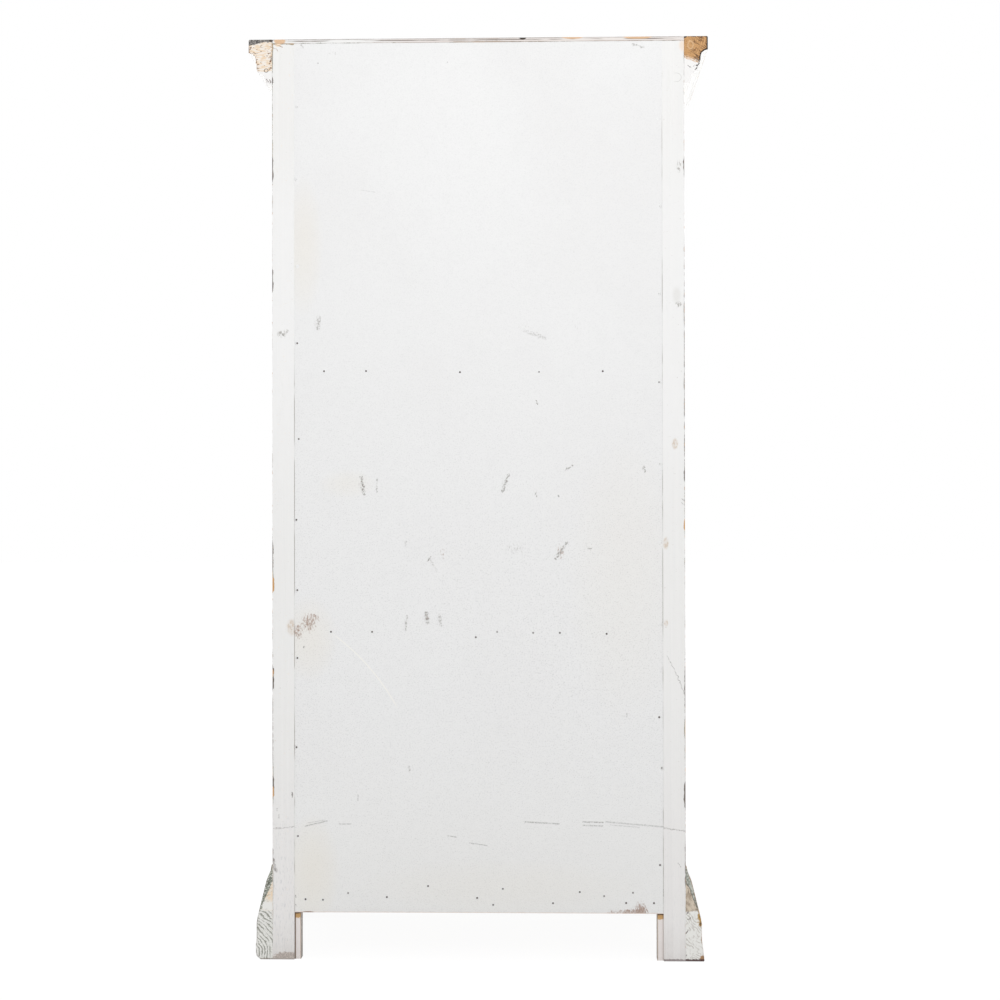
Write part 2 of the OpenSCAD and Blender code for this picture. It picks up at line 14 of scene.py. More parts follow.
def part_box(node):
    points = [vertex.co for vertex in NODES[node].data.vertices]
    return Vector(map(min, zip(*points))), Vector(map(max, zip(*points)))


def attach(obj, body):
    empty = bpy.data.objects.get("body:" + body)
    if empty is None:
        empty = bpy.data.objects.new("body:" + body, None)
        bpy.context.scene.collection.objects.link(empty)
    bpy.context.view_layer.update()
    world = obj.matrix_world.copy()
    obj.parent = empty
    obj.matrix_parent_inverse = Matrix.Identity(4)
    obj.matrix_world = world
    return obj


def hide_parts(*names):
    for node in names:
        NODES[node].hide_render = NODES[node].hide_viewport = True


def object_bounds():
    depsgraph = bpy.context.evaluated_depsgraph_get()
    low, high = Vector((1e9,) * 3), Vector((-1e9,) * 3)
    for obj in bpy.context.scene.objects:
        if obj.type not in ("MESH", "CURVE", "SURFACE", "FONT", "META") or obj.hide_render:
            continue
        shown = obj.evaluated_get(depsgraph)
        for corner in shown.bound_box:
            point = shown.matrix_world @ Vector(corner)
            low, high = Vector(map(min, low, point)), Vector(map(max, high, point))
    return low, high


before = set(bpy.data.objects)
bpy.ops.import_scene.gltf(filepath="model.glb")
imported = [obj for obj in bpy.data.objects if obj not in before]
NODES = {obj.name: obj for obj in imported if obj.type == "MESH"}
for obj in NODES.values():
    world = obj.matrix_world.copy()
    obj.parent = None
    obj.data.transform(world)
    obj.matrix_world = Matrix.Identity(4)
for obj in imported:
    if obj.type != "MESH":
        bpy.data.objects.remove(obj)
CAD_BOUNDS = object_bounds()
MM = 0.001

# ------------------------------------------------------------------ places that follow from the frame

Y_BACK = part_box("back_panel")[1].y
Y_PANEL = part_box("back_panel")[0].y
Y_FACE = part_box("sill_rail")[0].y
X_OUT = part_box("rear_post_right")[1].x
TOP_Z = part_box("top_board")[1].z
SHEET_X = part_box("back_panel")[1].x
SHEET_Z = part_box("back_panel")[0].z

# ------------------------------------------------------------------ colours, as linear light

COAT = (0.86, 0.856, 0.845)
COAT_WARM = (0.83, 0.80, 0.755)
COAT_COOL = (0.80, 0.81, 0.82)
UNDERCOAT = (0.30, 0.31, 0.27)
PINE_PALE = (0.70, 0.52, 0.31)
PINE_DARK = (0.46, 0.26, 0.11)
PINE_WORN = (0.40, 0.27, 0.15)
PEACH = (0.86, 0.70, 0.52)
GRIME_AND_SHADE = (0.055, 0.042, 0.034)
KNOT = (0.17, 0.085, 0.04)
SMUDGE = (0.36, 0.345, 0.32)
RUST = (0.30, 0.16, 0.10)
CREAM = (0.83, 0.76, 0.62)
WHITE = (1, 1, 1)


# ------------------------------------------------------------------ shader nodes

def add_node(tree, kind, inputs=(), **settings):
    """Adds a shader node. Its inputs hold sockets, values worked out by a Graph, or plain numbers."""
    node = tree.nodes.new(kind)
    for key, value in settings.items():
        setattr(node, key, value)
    for key, value in dict(inputs).items():
        entry = node.inputs[key]
        value = value.socket if isinstance(value, Value) else value
        if isinstance(value, bpy.types.NodeSocket):
            tree.links.new(value, entry)
        elif entry.type == "RGBA" and len(value) == 3:
            entry.default_value = (*value, 1)
        else:
            entry.default_value = value
    return node


class Value:
    """What a node of a Graph puts out. Sums with it add nodes, and a comparison gives 1 or 0."""

    def __init__(self, graph, socket):
        self.graph, self.socket = graph, socket

    def __add__(self, other):
        return self.graph.math("ADD", self, other)

    __radd__ = __add__

    def __sub__(self, other):
        return self.graph.math("SUBTRACT", self, other)

    def __rsub__(self, other):
        return self.graph.math("SUBTRACT", other, self)

    def __mul__(self, other):
        return self.graph.math("MULTIPLY", self, other)

    def __gt__(self, other):
        return self.graph.math("GREATER_THAN", self, other)

    def __lt__(self, other):
        return self.graph.math("LESS_THAN", self, other)

    def __abs__(self):
        return self.graph.math("ABSOLUTE", self)

    def spread(self, size):
        """Noise from 0 to 1 made to reach about size to each side of zero."""
        return self.graph.math("MULTIPLY_ADD", self, 2.0 * size, -size)

    def ramp(self, start, end, low=0.0, high=1.0):
        """Smooth rise from low, at start, to high, at end. It falls where end is under start."""
        inputs = {0: self, 1: start, 2: end, 3: low, 4: high}
        return self.graph.add("ShaderNodeMapRange", inputs, interpolation_type="SMOOTHSTEP")


class Graph:
    """A material's nodes. Layers are laid over each other: colour, roughness, and height in millimetres."""

    def __init__(self, name, low, high):
        self.material = bpy.data.materials.new(name)
        self.material.use_nodes = True
        self.tree = self.material.node_tree
        self.tree.nodes.clear()
        self.low, self.high = low, high
        size = high - low
        self.grain = max(range(3), key=lambda axis: size[axis])
        self.place = self.add("ShaderNodeTexCoord", out="Object")
        draw = random.Random(name)
        self.wood = self.vector("ADD", self.place, [draw.uniform(-9, 9) for _ in range(3)])
        self.x, self.y, self.z = self.add("ShaderNodeSeparateXYZ", {0: self.place}, out=None)
        self.colour = COAT
        self.rough = 0.6
        self.height = 0.0
        self.metal = 0.0

    def add(self, kind, inputs=(), out=0, **settings):
        """Adds a node and returns one of its outputs, or the list of them where out is None."""
        node = add_node(self.tree, kind, inputs, **settings)
        if out is None:
            return [Value(self, socket) for socket in node.outputs]
        return Value(self, node.outputs[out])

    def math(self, operation, a, b=0.0, c=0.0):
        return self.add("ShaderNodeMath", {0: a, 1: b, 2: c}, operation=operation)

    def vector(self, operation, a, b=(0, 0, 0)):
        out = 1 if operation in ("LENGTH", "DOT_PRODUCT") else 0
        return self.add("ShaderNodeVectorMath", {0: a, 1: b}, out=out, operation=operation)

    def mix(self, factor, a, b):
        return self.add("ShaderNodeMix", {0: factor, 6: a, 7: b}, out=2, data_type="RGBA")

    def more(self, a, b):
        return self.math("MAXIMUM", a, b)

    def less(self, a, b):
        return self.math("MINIMUM", a, b)

    def noise_at(self, factors, detail=2.0, rough=0.55, twist=0.0, turn=0.0):
        """Noise with features of 1/factor metres along each axis, turned about the Y axis."""
        place = self.wood
        if turn:
            place = self.add("ShaderNodeVectorRotate", {0: place, 3: turn}, rotation_type="Y_AXIS")
        place = self.vector("MULTIPLY", place, factors)
        inputs = {"Vector": place, "Scale": 1.0, "Detail": detail, "Roughness": rough, "Distortion": twist}
        return self.add("ShaderNodeTexNoise", inputs)

    def noise(self, scale, along=1.0, detail=2.0, rough=0.55, twist=0.0):
        """Noise with features of 1/scale metres, drawn out by 1/along in the direction of the grain."""
        factors = [scale] * 3
        factors[self.grain] = scale * along
        return self.noise_at(factors, detail, rough, twist)

    def layer(self, mask, colour, rough=None, rise=0.0):
        """Lays a colour over what is there, where mask is 1, and raises the surface by rise millimetres."""
        self.colour = self.mix(mask, self.colour, colour)
        if rough is not None:
            self.rough = self.add("ShaderNodeMix", {0: mask, 2: self.rough, 3: rough}, data_type="FLOAT")
        if rise:
            self.raise_by(mask, rise)

    def raise_by(self, value, size):
        self.height = self.math("MULTIPLY_ADD", value, size, self.height)

    def box_gaps(self):
        """Distances along the three axes to the nearer side of the piece's own box."""
        from_low = self.vector("SUBTRACT", self.place, self.low)
        from_high = self.vector("SUBTRACT", self.high, self.place)
        return self.add("ShaderNodeSeparateXYZ", {0: self.vector("MINIMUM", from_low, from_high)}, out=None)

    def box_edge(self):
        """Distance in millimetres to the nearest edge of that box, for a point on its surface."""
        x, y, z = self.box_gaps()
        return self.more(self.less(x, y), self.less(self.more(x, y), z)) * (1 / MM)

    def bent_edge(self, radius):
        """Rough distance in millimetres to any sharp edge nearby, on a piece of another shape."""
        bent = self.add("ShaderNodeBevel", {"Radius": radius}, samples=6)
        flat = self.add("ShaderNodeNewGeometry", out="Normal")
        turn = self.math("SQRT", self.more(1.0 - self.vector("DOT_PRODUCT", bent, flat), 0.0))
        return turn.ramp(0.53, 0.0, 0.0, radius / MM)

    def blot(self, x, z, half_x, half_z):
        """1 in the middle of an ellipse on the x-z plane, 0 at its rim and outside."""
        offset = self.vector("SUBTRACT", self.place, (x, 0, z))
        scaled = self.vector("MULTIPLY", offset, (1 / half_x, 0, 1 / half_z))
        return self.vector("LENGTH", scaled).ramp(1.0, 0.0)

    def blots(self, places):
        found = 0.0
        for place in places:
            found = self.more(found, self.blot(*place))
        return found

    def stroke(self, start, end, half_width, bow):
        """A thin line on the x-z plane from start to end, bowed sideways by bow in the middle."""
        run = Vector((end[0] - start[0], 0, end[1] - start[1]))
        side = Vector((-run.z, 0, run.x)).normalized()
        offset = self.vector("SUBTRACT", self.place, (start[0], 0, start[1]))
        along = self.vector("DOT_PRODUCT", offset, run / run.length_squared)
        across = along * (1.0 - along) * (-4.0 * bow) + self.vector("DOT_PRODUCT", offset, side)
        return abs(across).ramp(half_width, half_width * 0.3) * abs(along - 0.5).ramp(0.5, 0.42)

    def dashes(self, places, depth=Y_BACK, ragged=2.0):
        """Marks on the x-z plane at y = depth, which wander by up to ragged millimetres.

        Each has its two ends and its half width, in millimetres, and a strength.
        """
        wander = self.add("ShaderNodeTexNoise", {"Vector": self.wood, "Scale": 170.0, "Detail": 2.0}, out=1)
        wander = self.vector("SUBTRACT", wander, (0.5, 0.5, 0.5))
        wander = self.vector("MULTIPLY", wander, [4 * ragged * MM, 0, 4 * ragged * MM])
        place = self.vector("ADD", self.place, wander)
        found = 0.0
        for *sizes, strength in places:
            x, z, end_x, end_z, half_width = (size * MM for size in sizes)
            run = Vector((end_x - x, 0, end_z - z))
            offset = self.vector("SUBTRACT", place, (x, depth, z))
            share = self.vector("DOT_PRODUCT", offset, run / run.length_squared)
            share = self.add("ShaderNodeMath", {0: share, 1: 0.0}, operation="ADD", use_clamp=True)
            nearest = self.add("ShaderNodeVectorMath", {0: run, "Scale": share}, operation="SCALE")
            away = self.vector("LENGTH", self.vector("SUBTRACT", offset, nearest))
            found = self.more(found, away.ramp(half_width, half_width * 0.3, 0.0, strength))
        return found

    def finish(self):
        """Puts the layers on a shader."""
        bump = self.add("ShaderNodeBump", {"Height": self.height, "Distance": MM, "Strength": 1.0})
        inputs = {"Base Color": self.colour, "Roughness": self.rough, "Metallic": self.metal, "Normal": bump}
        shader = self.add("ShaderNodeBsdfPrincipled", inputs)
        self.add("ShaderNodeOutputMaterial", {"Surface": shader}, out=None)
        return self.material


# ------------------------------------------------------------------ wood

def growth_rings(graph, rings=15.0):
    """Rings as a board's face shows them: long bands, each with a sharp dark latewood side."""
    wander = graph.noise(9, along=0.05, detail=1.5, twist=0.35)
    turns = graph.math("FRACT", wander * rings)
    return graph.math("POWER", turns, 2.2)


def fibres(graph):
    return graph.noise(900, along=0.012, detail=2)


def knots(graph, share):
    """Knots in about share of the cells of a coarse lattice: 1 at the heart, falling to 0 at the rim."""
    factors = [11.0] * 3
    factors[graph.grain] = 5.0
    place = graph.vector("MULTIPLY", graph.wood, factors)
    distance, chosen = graph.add("ShaderNodeTexVoronoi", {"Vector": place, "Scale": 1.0}, out=None)[:2]
    chosen = graph.add("ShaderNodeSeparateColor", {0: chosen}, out=None)
    distance = distance + graph.noise(60, detail=1).spread(0.03)
    size = chosen[1].ramp(0.0, 1.0, 0.07, 0.16)
    return distance.ramp(size, 0.0) * (chosen[0] < share)


def bare_pine(name, low, high):
    """Waxed-dry inside pine: ring bands, fibres, knots, dusty scuffs and darkened arrises."""
    graph = Graph(name, low, high)
    bands = growth_rings(graph)
    fine = fibres(graph)
    graph.colour = graph.mix(bands, PINE_PALE, PINE_DARK)
    graph.layer(fine.ramp(0.55, 0.75, 0.0, 0.35), PINE_DARK)
    patches = graph.noise(6, along=0.5, detail=3).ramp(0.45, 0.75, 0.0, 0.4)
    graph.layer(patches, (0.50, 0.36, 0.21))
    heart = knots(graph, 0.35)
    graph.layer(heart.ramp(0.0, 0.5, 0.0, 0.75), (0.42, 0.22, 0.09))
    graph.layer(heart.ramp(0.45, 0.75), KNOT, 0.45)
    ragged = graph.box_edge() + graph.noise(150).spread(3.0)
    graph.layer(ragged.ramp(3.5, 0.0, 0.0, 0.5), PINE_WORN)
    graph.rough = bands.ramp(0.0, 1.0, 0.72, 0.56)
    graph.raise_by(bands, -0.10)
    graph.raise_by(fine, 0.10)
    return graph.finish()


def brushed_coat(graph, warmth):
    """The top coat: brushed along the grain, faintly stippled, with the rings showing through as ridges."""
    strokes = graph.noise(420, along=0.02, detail=3)
    patches = graph.noise(4, along=0.5, detail=3)
    stipple = graph.noise(520, detail=2)
    warm = patches.ramp(0.42, 0.72, 0.0, warmth)
    graph.colour = graph.mix(warm, COAT, COAT_WARM)
    graph.layer(strokes.ramp(0.50, 0.80, 0.0, 0.30), COAT_COOL)
    heart = knots(graph, 0.28)
    graph.layer(heart.ramp(0.0, 0.6, 0.0, 0.45), CREAM)
    graph.layer(heart.ramp(0.45, 0.9, 0.0, 0.30), SMUDGE)
    graph.rough = patches.ramp(0.3, 0.7, 0.55, 0.69)
    graph.raise_by(strokes, 0.24)
    graph.raise_by(stipple, 0.09)
    graph.raise_by(growth_rings(graph, 12.0), 0.10)


def wear_edges(graph, edge, amount):
    """Rubs the coats away from the edges: to the undercoat, then to the pine, dark where dirt has set."""
    ragged = edge + graph.noise(75, along=0.5).spread(2.4)
    ragged = ragged + graph.noise(420, detail=3).spread(1.3)
    reach = graph.noise(6, along=0.6, detail=3).ramp(0.44, 0.72, 0.15 * amount, 5.0 * amount)
    deeper = reach * 0.85 - 0.8
    softer = reach - 0.35
    deep_end = deeper - 0.4
    graph.layer(ragged.ramp(reach, softer), UNDERCOAT, 0.75, -0.12)
    fine = fibres(graph)
    wood = graph.mix(fine, PINE_PALE, PINE_DARK)
    graph.layer(ragged.ramp(deeper, deep_end), wood, 0.7, -0.10)
    dirt = graph.noise(160, along=0.3).ramp(0.55, 0.68)
    core = deep_end - 1.2
    graph.layer(ragged.ramp(deep_end, core) * dirt, GRIME_AND_SHADE, 0.8)


def flecks(graph, share):
    """Small chips in the top coat, scattered and clustered."""
    clusters = graph.noise(9, detail=2).ramp(0.52, 0.72)
    chips = graph.noise(260, along=0.45, detail=2).ramp(0.80 - share, 0.82 - share)
    graph.layer(clusters * chips, UNDERCOAT, 0.75, -0.10)


def floor_dirt(graph):
    """Scuffs and mop marks near the floor."""
    height = graph.z + graph.noise(30, detail=4).spread(0.05)
    graph.layer(height.ramp(0.09, 0.0, 0.0, 0.5), (0.44, 0.40, 0.35), 0.7)


def painted_pine(name, low, high, wear, bent, warmth, chips=0.04):
    """Painted piece. bent is the radius for its edge wear where it isn't a plain box."""
    graph = Graph(name, low, high)
    brushed_coat(graph, warmth)
    if chips:
        flecks(graph, chips)
    edge = graph.bent_edge(bent) * 1.2 if bent else graph.box_edge()
    wear_edges(graph, edge, wear)
    return graph


# ------------------------------------------------------------------ metals

def aged_iron(name, low, high):
    """Blackened iron, hammered a little, brown with rust in its hollows and bright on its edges."""
    graph = Graph(name, low, high)
    hammer = graph.noise(210, detail=2)
    grain = graph.noise(1600, detail=2)
    graph.colour = graph.mix(hammer, (0.030, 0.028, 0.027), (0.075, 0.069, 0.063))
    graph.rough = grain.ramp(0.3, 0.7, 0.42, 0.62)
    rust = graph.noise(70, detail=4).ramp(0.52, 0.66) * grain.ramp(0.35, 0.55)
    graph.metal = 0.9 - rust * 0.8
    graph.layer(rust, (0.16, 0.065, 0.028), 0.85, 0.05)
    rubbed = graph.bent_edge(1.2 * MM).ramp(0.9, 0.2, 0.0, 0.7)
    graph.layer(rubbed * grain.ramp(0.4, 0.6), (0.24, 0.225, 0.21), 0.38)
    graph.raise_by(hammer, 0.25)
    graph.raise_by(grain, 0.04)
    return graph.finish()


def aged_brass(name, low, high):
    """Dull brass: brown in its hollows, rubbed to yellow where hands reach."""
    graph = Graph(name, low, high)
    cloud = graph.noise(90, detail=4)
    grain = graph.noise(1500, detail=2)
    graph.colour = graph.mix(cloud.ramp(0.35, 0.65), (0.52, 0.35, 0.13), (0.30, 0.185, 0.07))
    graph.metal = 1.0
    graph.rough = cloud.ramp(0.35, 0.65, 0.30, 0.52)
    graph.layer(graph.noise(260, detail=3).ramp(0.60, 0.72, 0.0, 0.8), (0.075, 0.050, 0.030), 0.65)
    rubbed = graph.bent_edge(1.2 * MM).ramp(0.9, 0.2, 0.0, 0.8)
    graph.layer(rubbed, (0.72, 0.54, 0.26), 0.25)
    graph.raise_by(grain, 0.03)
    return graph.finish()


# ------------------------------------------------------------------ sawn ends of the mouldings

def sawn_rings(graph, centre, spacing, squash=1.0, stray=1.5 * MM):
    """Growth rings round a heart at a place on the x-z plane, for end grain."""
    offset = graph.vector("SUBTRACT", graph.place, (centre[0], 0, centre[1]))
    scaled = graph.vector("MULTIPLY", offset, (1, 0, squash))
    wander = graph.noise(45, detail=3).spread(stray)
    radius = graph.vector("LENGTH", scaled) + wander
    return graph.math("FRACT", radius * (1 / spacing))


def at_back(graph):
    """1 on the rearmost face, 0 elsewhere."""
    return graph.y > Y_BACK - 0.6 * MM


# The mouldings' own profiles, in millimetres: how far down from the top of the cornice, or up from the
# floor for the skirt, and how far out from the posts the moulding reaches there
CORNICE_STOPS = [
    (28, 49), (30, 42), (34, 37), (43, 34), (50, 34), (51.5, 32.5),
    (63, 32.5), (70, 31), (75, 27), (79, 16), (81, 14),
]
SKIRT_STOPS = [(22, 36), (44, 33), (76, 33), (105, 27), (165, 12), (183, 4), (196, 0)]


def rim_of_end(graph, value, out, stops, width, ragged):
    """1 along a sawn end's own outline, width millimetres wide and uneven by ragged millimetres."""
    limit = stops[0][1] * MM
    for (start, low), (end, high) in zip(stops, stops[1:]):
        inputs = {0: value, 1: start * MM, 2: end * MM, 3: 0.0, 4: (high - low) * MM}
        limit = limit + graph.add("ShaderNodeMapRange", inputs)
    gap = limit - out + graph.noise(300, detail=2).spread(ragged * MM)
    close = graph.y > Y_BACK - 1.3 * MM
    return close * gap.ramp((width + 0.6) * MM, (width - 0.6) * MM)


def cornice_rim(graph, out, drop, width, ragged=1.2):
    """The rim of a cornice's end, kept as wide under its fillet and its ovolo as beside them."""
    lower = drop + width * 0.8 * MM
    beside = rim_of_end(graph, drop, out, CORNICE_STOPS, width, ragged)
    return graph.more(beside, rim_of_end(graph, lower, out, CORNICE_STOPS, width * 0.5, ragged))


def finish_cornice_end(graph, side):
    """The sawn rear end of a side cornice: bare wood above, painted wood below, with a dark broken rim."""
    end = at_back(graph)
    out = graph.x * side - X_OUT
    drop = TOP_Z - graph.z
    ragged = graph.noise_at((170, 1, 170), 3).spread(3.5 * MM)
    # Painted light: the last 12 mm of the cornice towards its rear end is made paler, so that the surfaces
    # seen beside the end read white.
    graph.layer(graph.y.ramp(Y_BACK - 12 * MM, Y_BACK - 4 * MM), (0.90, 0.89, 0.88), 0.7)
    if side > 0:
        pale_cornice_end(graph, end, out, drop, ragged)
    else:
        golden_cornice_end(graph, end, out, drop, ragged)
    return graph.finish()


def pale_cornice_end(graph, end, out, drop, ragged):
    """Bleached end grain with brown flecks, weathered grey along its top."""
    line = drop + ragged
    above = line.ramp(0.067, 0.065)
    bare = end * above
    streaks = graph.noise_at((90, 1, 330), 4).ramp(0.42, 0.60)
    wood = graph.mix(streaks, (0.89, 0.83, 0.76), (0.84, 0.67, 0.49))
    graph.layer(bare, wood, 0.75, -0.15)
    at_sides = graph.more(out.ramp(0.014, 0.003), cornice_rim(graph, out, drop, 6.0))
    grain = at_sides * 0.075 + graph.noise_at((150, 1, 330), 4)
    graph.layer(bare * grain.ramp(0.620, 0.665), (0.24, 0.13, 0.07), 0.8)
    broken = graph.noise(70, detail=2).ramp(0.40, 0.52, 0.35, 0.9)
    outline = cornice_rim(graph, out, drop, 1.6) * out.ramp(0.012, 0.020)
    graph.layer(above * outline * broken, (0.24, 0.13, 0.07), 0.8)
    thickness = out.ramp(0.012, 0.046, 5.5 * MM, 12 * MM)
    weathered = ragged * 0.8 + drop - thickness
    ash = graph.mix(graph.noise_at((260, 1, 700), 3).ramp(0.4, 0.6), (0.055, 0.05, 0.05), (0.36, 0.34, 0.32))
    graph.layer(end * weathered.ramp(1 * MM, -1 * MM), ash, 0.85, -0.1)
    graph.layer(end * graph.blot(0.4275, TOP_Z, 6 * MM, 8 * MM).ramp(0.1, 0.4), (0.08, 0.06, 0.05), 0.8)
    ring = abs(graph.blot(0.4375, 1.8355, 7 * MM, 6 * MM) - 0.40)
    graph.layer(end * ring.ramp(0.22, 0.05), (0.13, 0.10, 0.08), 0.8)
    specks = graph.dashes([
        (430, 1815, 428.5, 1810.5, 1.6, 1.0), (436.5, 1819, 433, 1812.5, 1.5, 0.8),
        (439.5, 1815, 437.5, 1812.5, 1.2, 0.6), (427, 1862, 426.2, 1856, 1.6, 0.9),
    ])
    graph.layer(end * specks, (0.26, 0.22, 0.20), 0.8)


def golden_cornice_end(graph, end, out, drop, ragged):
    """Golden end grain: rings round a pale heart, dark rays to its outer side, a near-black outline."""
    line = drop + ragged + out * -0.35
    above = line.ramp(0.046, 0.044)
    bare = end * above
    rings = sawn_rings(graph, (-0.4300, 1.8900), 4.6 * MM, 1.1, 7 * MM)
    strong = graph.noise_at((70, 1, 70), 2).ramp(0.35, 0.65, 0.10, 0.95)
    rings = rings.ramp(0.35, 0.95) * strong
    fine = graph.noise_at((170, 1, 520), 3, turn=0.7)
    wood = graph.mix(rings, (0.60, 0.33, 0.135), (0.27, 0.125, 0.045))
    wood = graph.mix(fine.ramp(0.52, 0.70, 0.0, 0.6), wood, (0.74, 0.46, 0.22))
    graph.layer(bare, wood, 0.75, -0.15)
    rays = graph.noise_at((60, 1, 420), 3, turn=0.6).ramp(0.54, 0.63)
    graph.layer(bare * rays * out.ramp(0.010, 0.026), (0.13, 0.06, 0.025), 0.8)
    heart = abs(graph.blot(-0.4385, 1.8815, 9 * MM, 13 * MM) + fine.spread(0.25) - 0.35)
    graph.layer(bare * heart.ramp(0.30, 0.05, 0.0, 0.45), (0.84, 0.60, 0.36), 0.7)
    outline = cornice_rim(graph, out, drop, 3.2, 2.4) * out.ramp(0.022, 0.030)
    graph.layer(above * outline, (0.035, 0.022, 0.016), 0.8)
    brink = drop.ramp(3.0 * MM, 1.4 * MM) * graph.noise_at((330, 1, 1), 2).ramp(0.42, 0.55)
    graph.layer(end * brink, (0.10, 0.06, 0.035), 0.8)
    below = line.ramp(0.036, 0.043) * fine.ramp(0.45, 0.62, 0.2, 0.9)
    graph.layer(bare * below, (0.92, 0.82, 0.72), 0.7)
    corner = graph.blot(-X_OUT, TOP_Z, 9 * MM, 6 * MM)
    graph.layer(end * corner.ramp(0.1, 0.4), (0.06, 0.04, 0.03), 0.8)
    specks = graph.dashes([
        (-456, 1844, -450.5, 1838, 1.5, 1.0), (-451, 1835, -448, 1830, 1.2, 0.9),
        (-444, 1826, -442.5, 1821.5, 1.2, 0.7), (-440, 1836, -431, 1840, 1.0, 0.6),
        (-448, 1840, -444, 1837, 0.9, 0.5),
    ])
    graph.layer(end * specks, (0.08, 0.07, 0.065), 0.8)


def finish_skirt_end(graph, side):
    """The sawn rear end of a side skirt: patina along the outer edge, bare wood within, rings below."""
    end = at_back(graph)
    out = graph.x * side - X_OUT
    ragged = graph.noise_at((160, 1, 90), 4).spread(5 * MM)
    height = graph.z + graph.noise_at((60, 1, 60), 3).spread(6 * MM)
    slope = graph.z.ramp(0.200, 0.085, 0.0, 0.034)
    inward = slope - out + ragged
    upper = end * height.ramp(0.100, 0.104)
    lower = end * height.ramp(0.104, 0.100)
    graph.layer(end, (0.85, 0.845, 0.815), 0.75)
    if side > 0:
        grey_skirt_end(graph, upper, lower, height, inward)
        rim, colour = 1.3, (0.16, 0.14, 0.11)
    else:
        brown_skirt_end(graph, end, upper, lower, inward)
        rim, colour = 1.6, (0.33, 0.19, 0.10)
    broken = graph.noise(60, detail=2).ramp(0.42, 0.56, 0.15, 0.9)
    outline = rim_of_end(graph, graph.z, out, SKIRT_STOPS, rim, 1.0)
    graph.layer(outline * broken, colour, 0.8)
    foot_line(graph, side)
    return graph.finish()


def grey_skirt_end(graph, upper, lower, height, inward):
    """Bold grey rings in the foot, peach wood above them, grey-green patina with white specks outside."""
    rings = sawn_rings(graph, (0.4840, 0.0120), 6.2 * MM, 0.9, 7 * MM)
    bold = graph.noise_at((110, 1, 110), 3).ramp(0.36, 0.58, 0.15, 1.0)
    lines = rings.ramp(0.42, 0.80) * rings.ramp(1.0, 0.93)
    graph.layer(lower * lines * bold, (0.25, 0.255, 0.215), 0.75, -0.25)
    fine = sawn_rings(graph, (0.4840, 0.0120), 3.2 * MM, 0.9, 5 * MM)
    grit = graph.noise_at((420, 1, 420), 2).ramp(0.42, 0.60)
    graph.layer(lower * fine.ramp(0.5, 0.9, 0.1, 0.60) * grit, (0.36, 0.36, 0.31), 0.75)
    graph.layer(upper, PEACH, 0.75, -0.1)
    graph.layer(upper * graph.noise_at((260, 1, 260), 3).ramp(0.42, 0.60, 0.0, 0.7), (0.84, 0.80, 0.74))
    graph.layer(upper * height.ramp(0.126, 0.116), (0.86, 0.85, 0.82))
    patina = upper * inward.ramp(10 * MM, 8 * MM)
    shade = graph.noise_at((330, 1, 330), 3).ramp(0.38, 0.60)
    tone = graph.mix(shade, (0.10, 0.11, 0.085), (0.36, 0.38, 0.32))
    graph.layer(patina, tone, 0.8, -0.15)
    specks = graph.noise_at((380, 1, 380), 2).ramp(0.58, 0.63)
    graph.layer(patina * specks, (0.88, 0.87, 0.84), 0.7)
    hatch = graph.noise_at((90, 1, 620), 2, turn=-0.6).ramp(0.60, 0.66, 0.0, 0.7)
    graph.layer(upper * hatch * inward.ramp(22 * MM, 14 * MM), (0.20, 0.20, 0.17), 0.8)


def brown_skirt_end(graph, end, upper, lower, inward):
    """Beige wood inside a pale green band, faint rings in the foot, golden and brown spots outside."""
    rings = sawn_rings(graph, (-0.5300, 0.1500), 5.5 * MM, 1.0, 9 * MM)
    faint = graph.noise_at((90, 1, 90), 3).ramp(0.42, 0.62, 0.0, 0.75)
    graph.layer(lower * rings.ramp(0.45, 0.95) * faint, (0.48, 0.45, 0.40), 0.75, -0.25)
    grit = graph.noise_at((300, 1, 160), 3).ramp(0.56, 0.66, 0.0, 0.5)
    graph.layer(lower * grit, (0.50, 0.46, 0.42), 0.75)
    wood = graph.noise_at((240, 1, 130), 4).ramp(0.40, 0.62)
    graph.layer(upper, graph.mix(wood, (0.66, 0.57, 0.46), (0.42, 0.34, 0.26)), 0.75, -0.1)
    graph.layer(upper * graph.noise_at((420, 1, 260), 3).ramp(0.60, 0.66), (0.20, 0.16, 0.13))
    band = upper * inward.ramp(8 * MM, 6 * MM)
    tone = graph.mix(graph.noise_at((330, 1, 200), 3).ramp(0.4, 0.62), (0.24, 0.26, 0.22), (0.56, 0.57, 0.52))
    graph.layer(band, tone, 0.8, -0.15)
    seam = abs(inward - 7 * MM).ramp(1.6 * MM, 0.5 * MM)
    graph.layer(upper * seam * 0.8, (0.13, 0.12, 0.10), 0.8)
    golden = graph.blot(-0.4570, 0.0920, 14 * MM, 34 * MM) + graph.noise(200, detail=3).spread(0.6)
    graph.layer(end * golden.ramp(0.25, 0.50), (0.46, 0.29, 0.10), 0.75)
    dark = graph.noise_at((330, 1, 330), 2).ramp(0.55, 0.62)
    graph.layer(end * dark * golden.ramp(0.30, 0.50), (0.13, 0.075, 0.035), 0.8)
    corner = graph.blot(-0.4600, 0.0045, 11 * MM, 14 * MM) + graph.noise(260, detail=3).spread(0.3)
    graph.layer(end * corner.ramp(0.25, 0.55), (0.40, 0.23, 0.12), 0.75)
    ticks = graph.dashes([
        (-429, 64, -424.5, 56, 1.3, 0.9), (-433.5, 89, -430, 86, 1.3, 0.8),
        (-427, 13, -423.5, 5, 1.4, 0.9), (-430, 103, -427.5, 97.5, 1.1, 0.7),
    ])
    graph.layer(end * ticks, (0.13, 0.10, 0.10), 0.8)


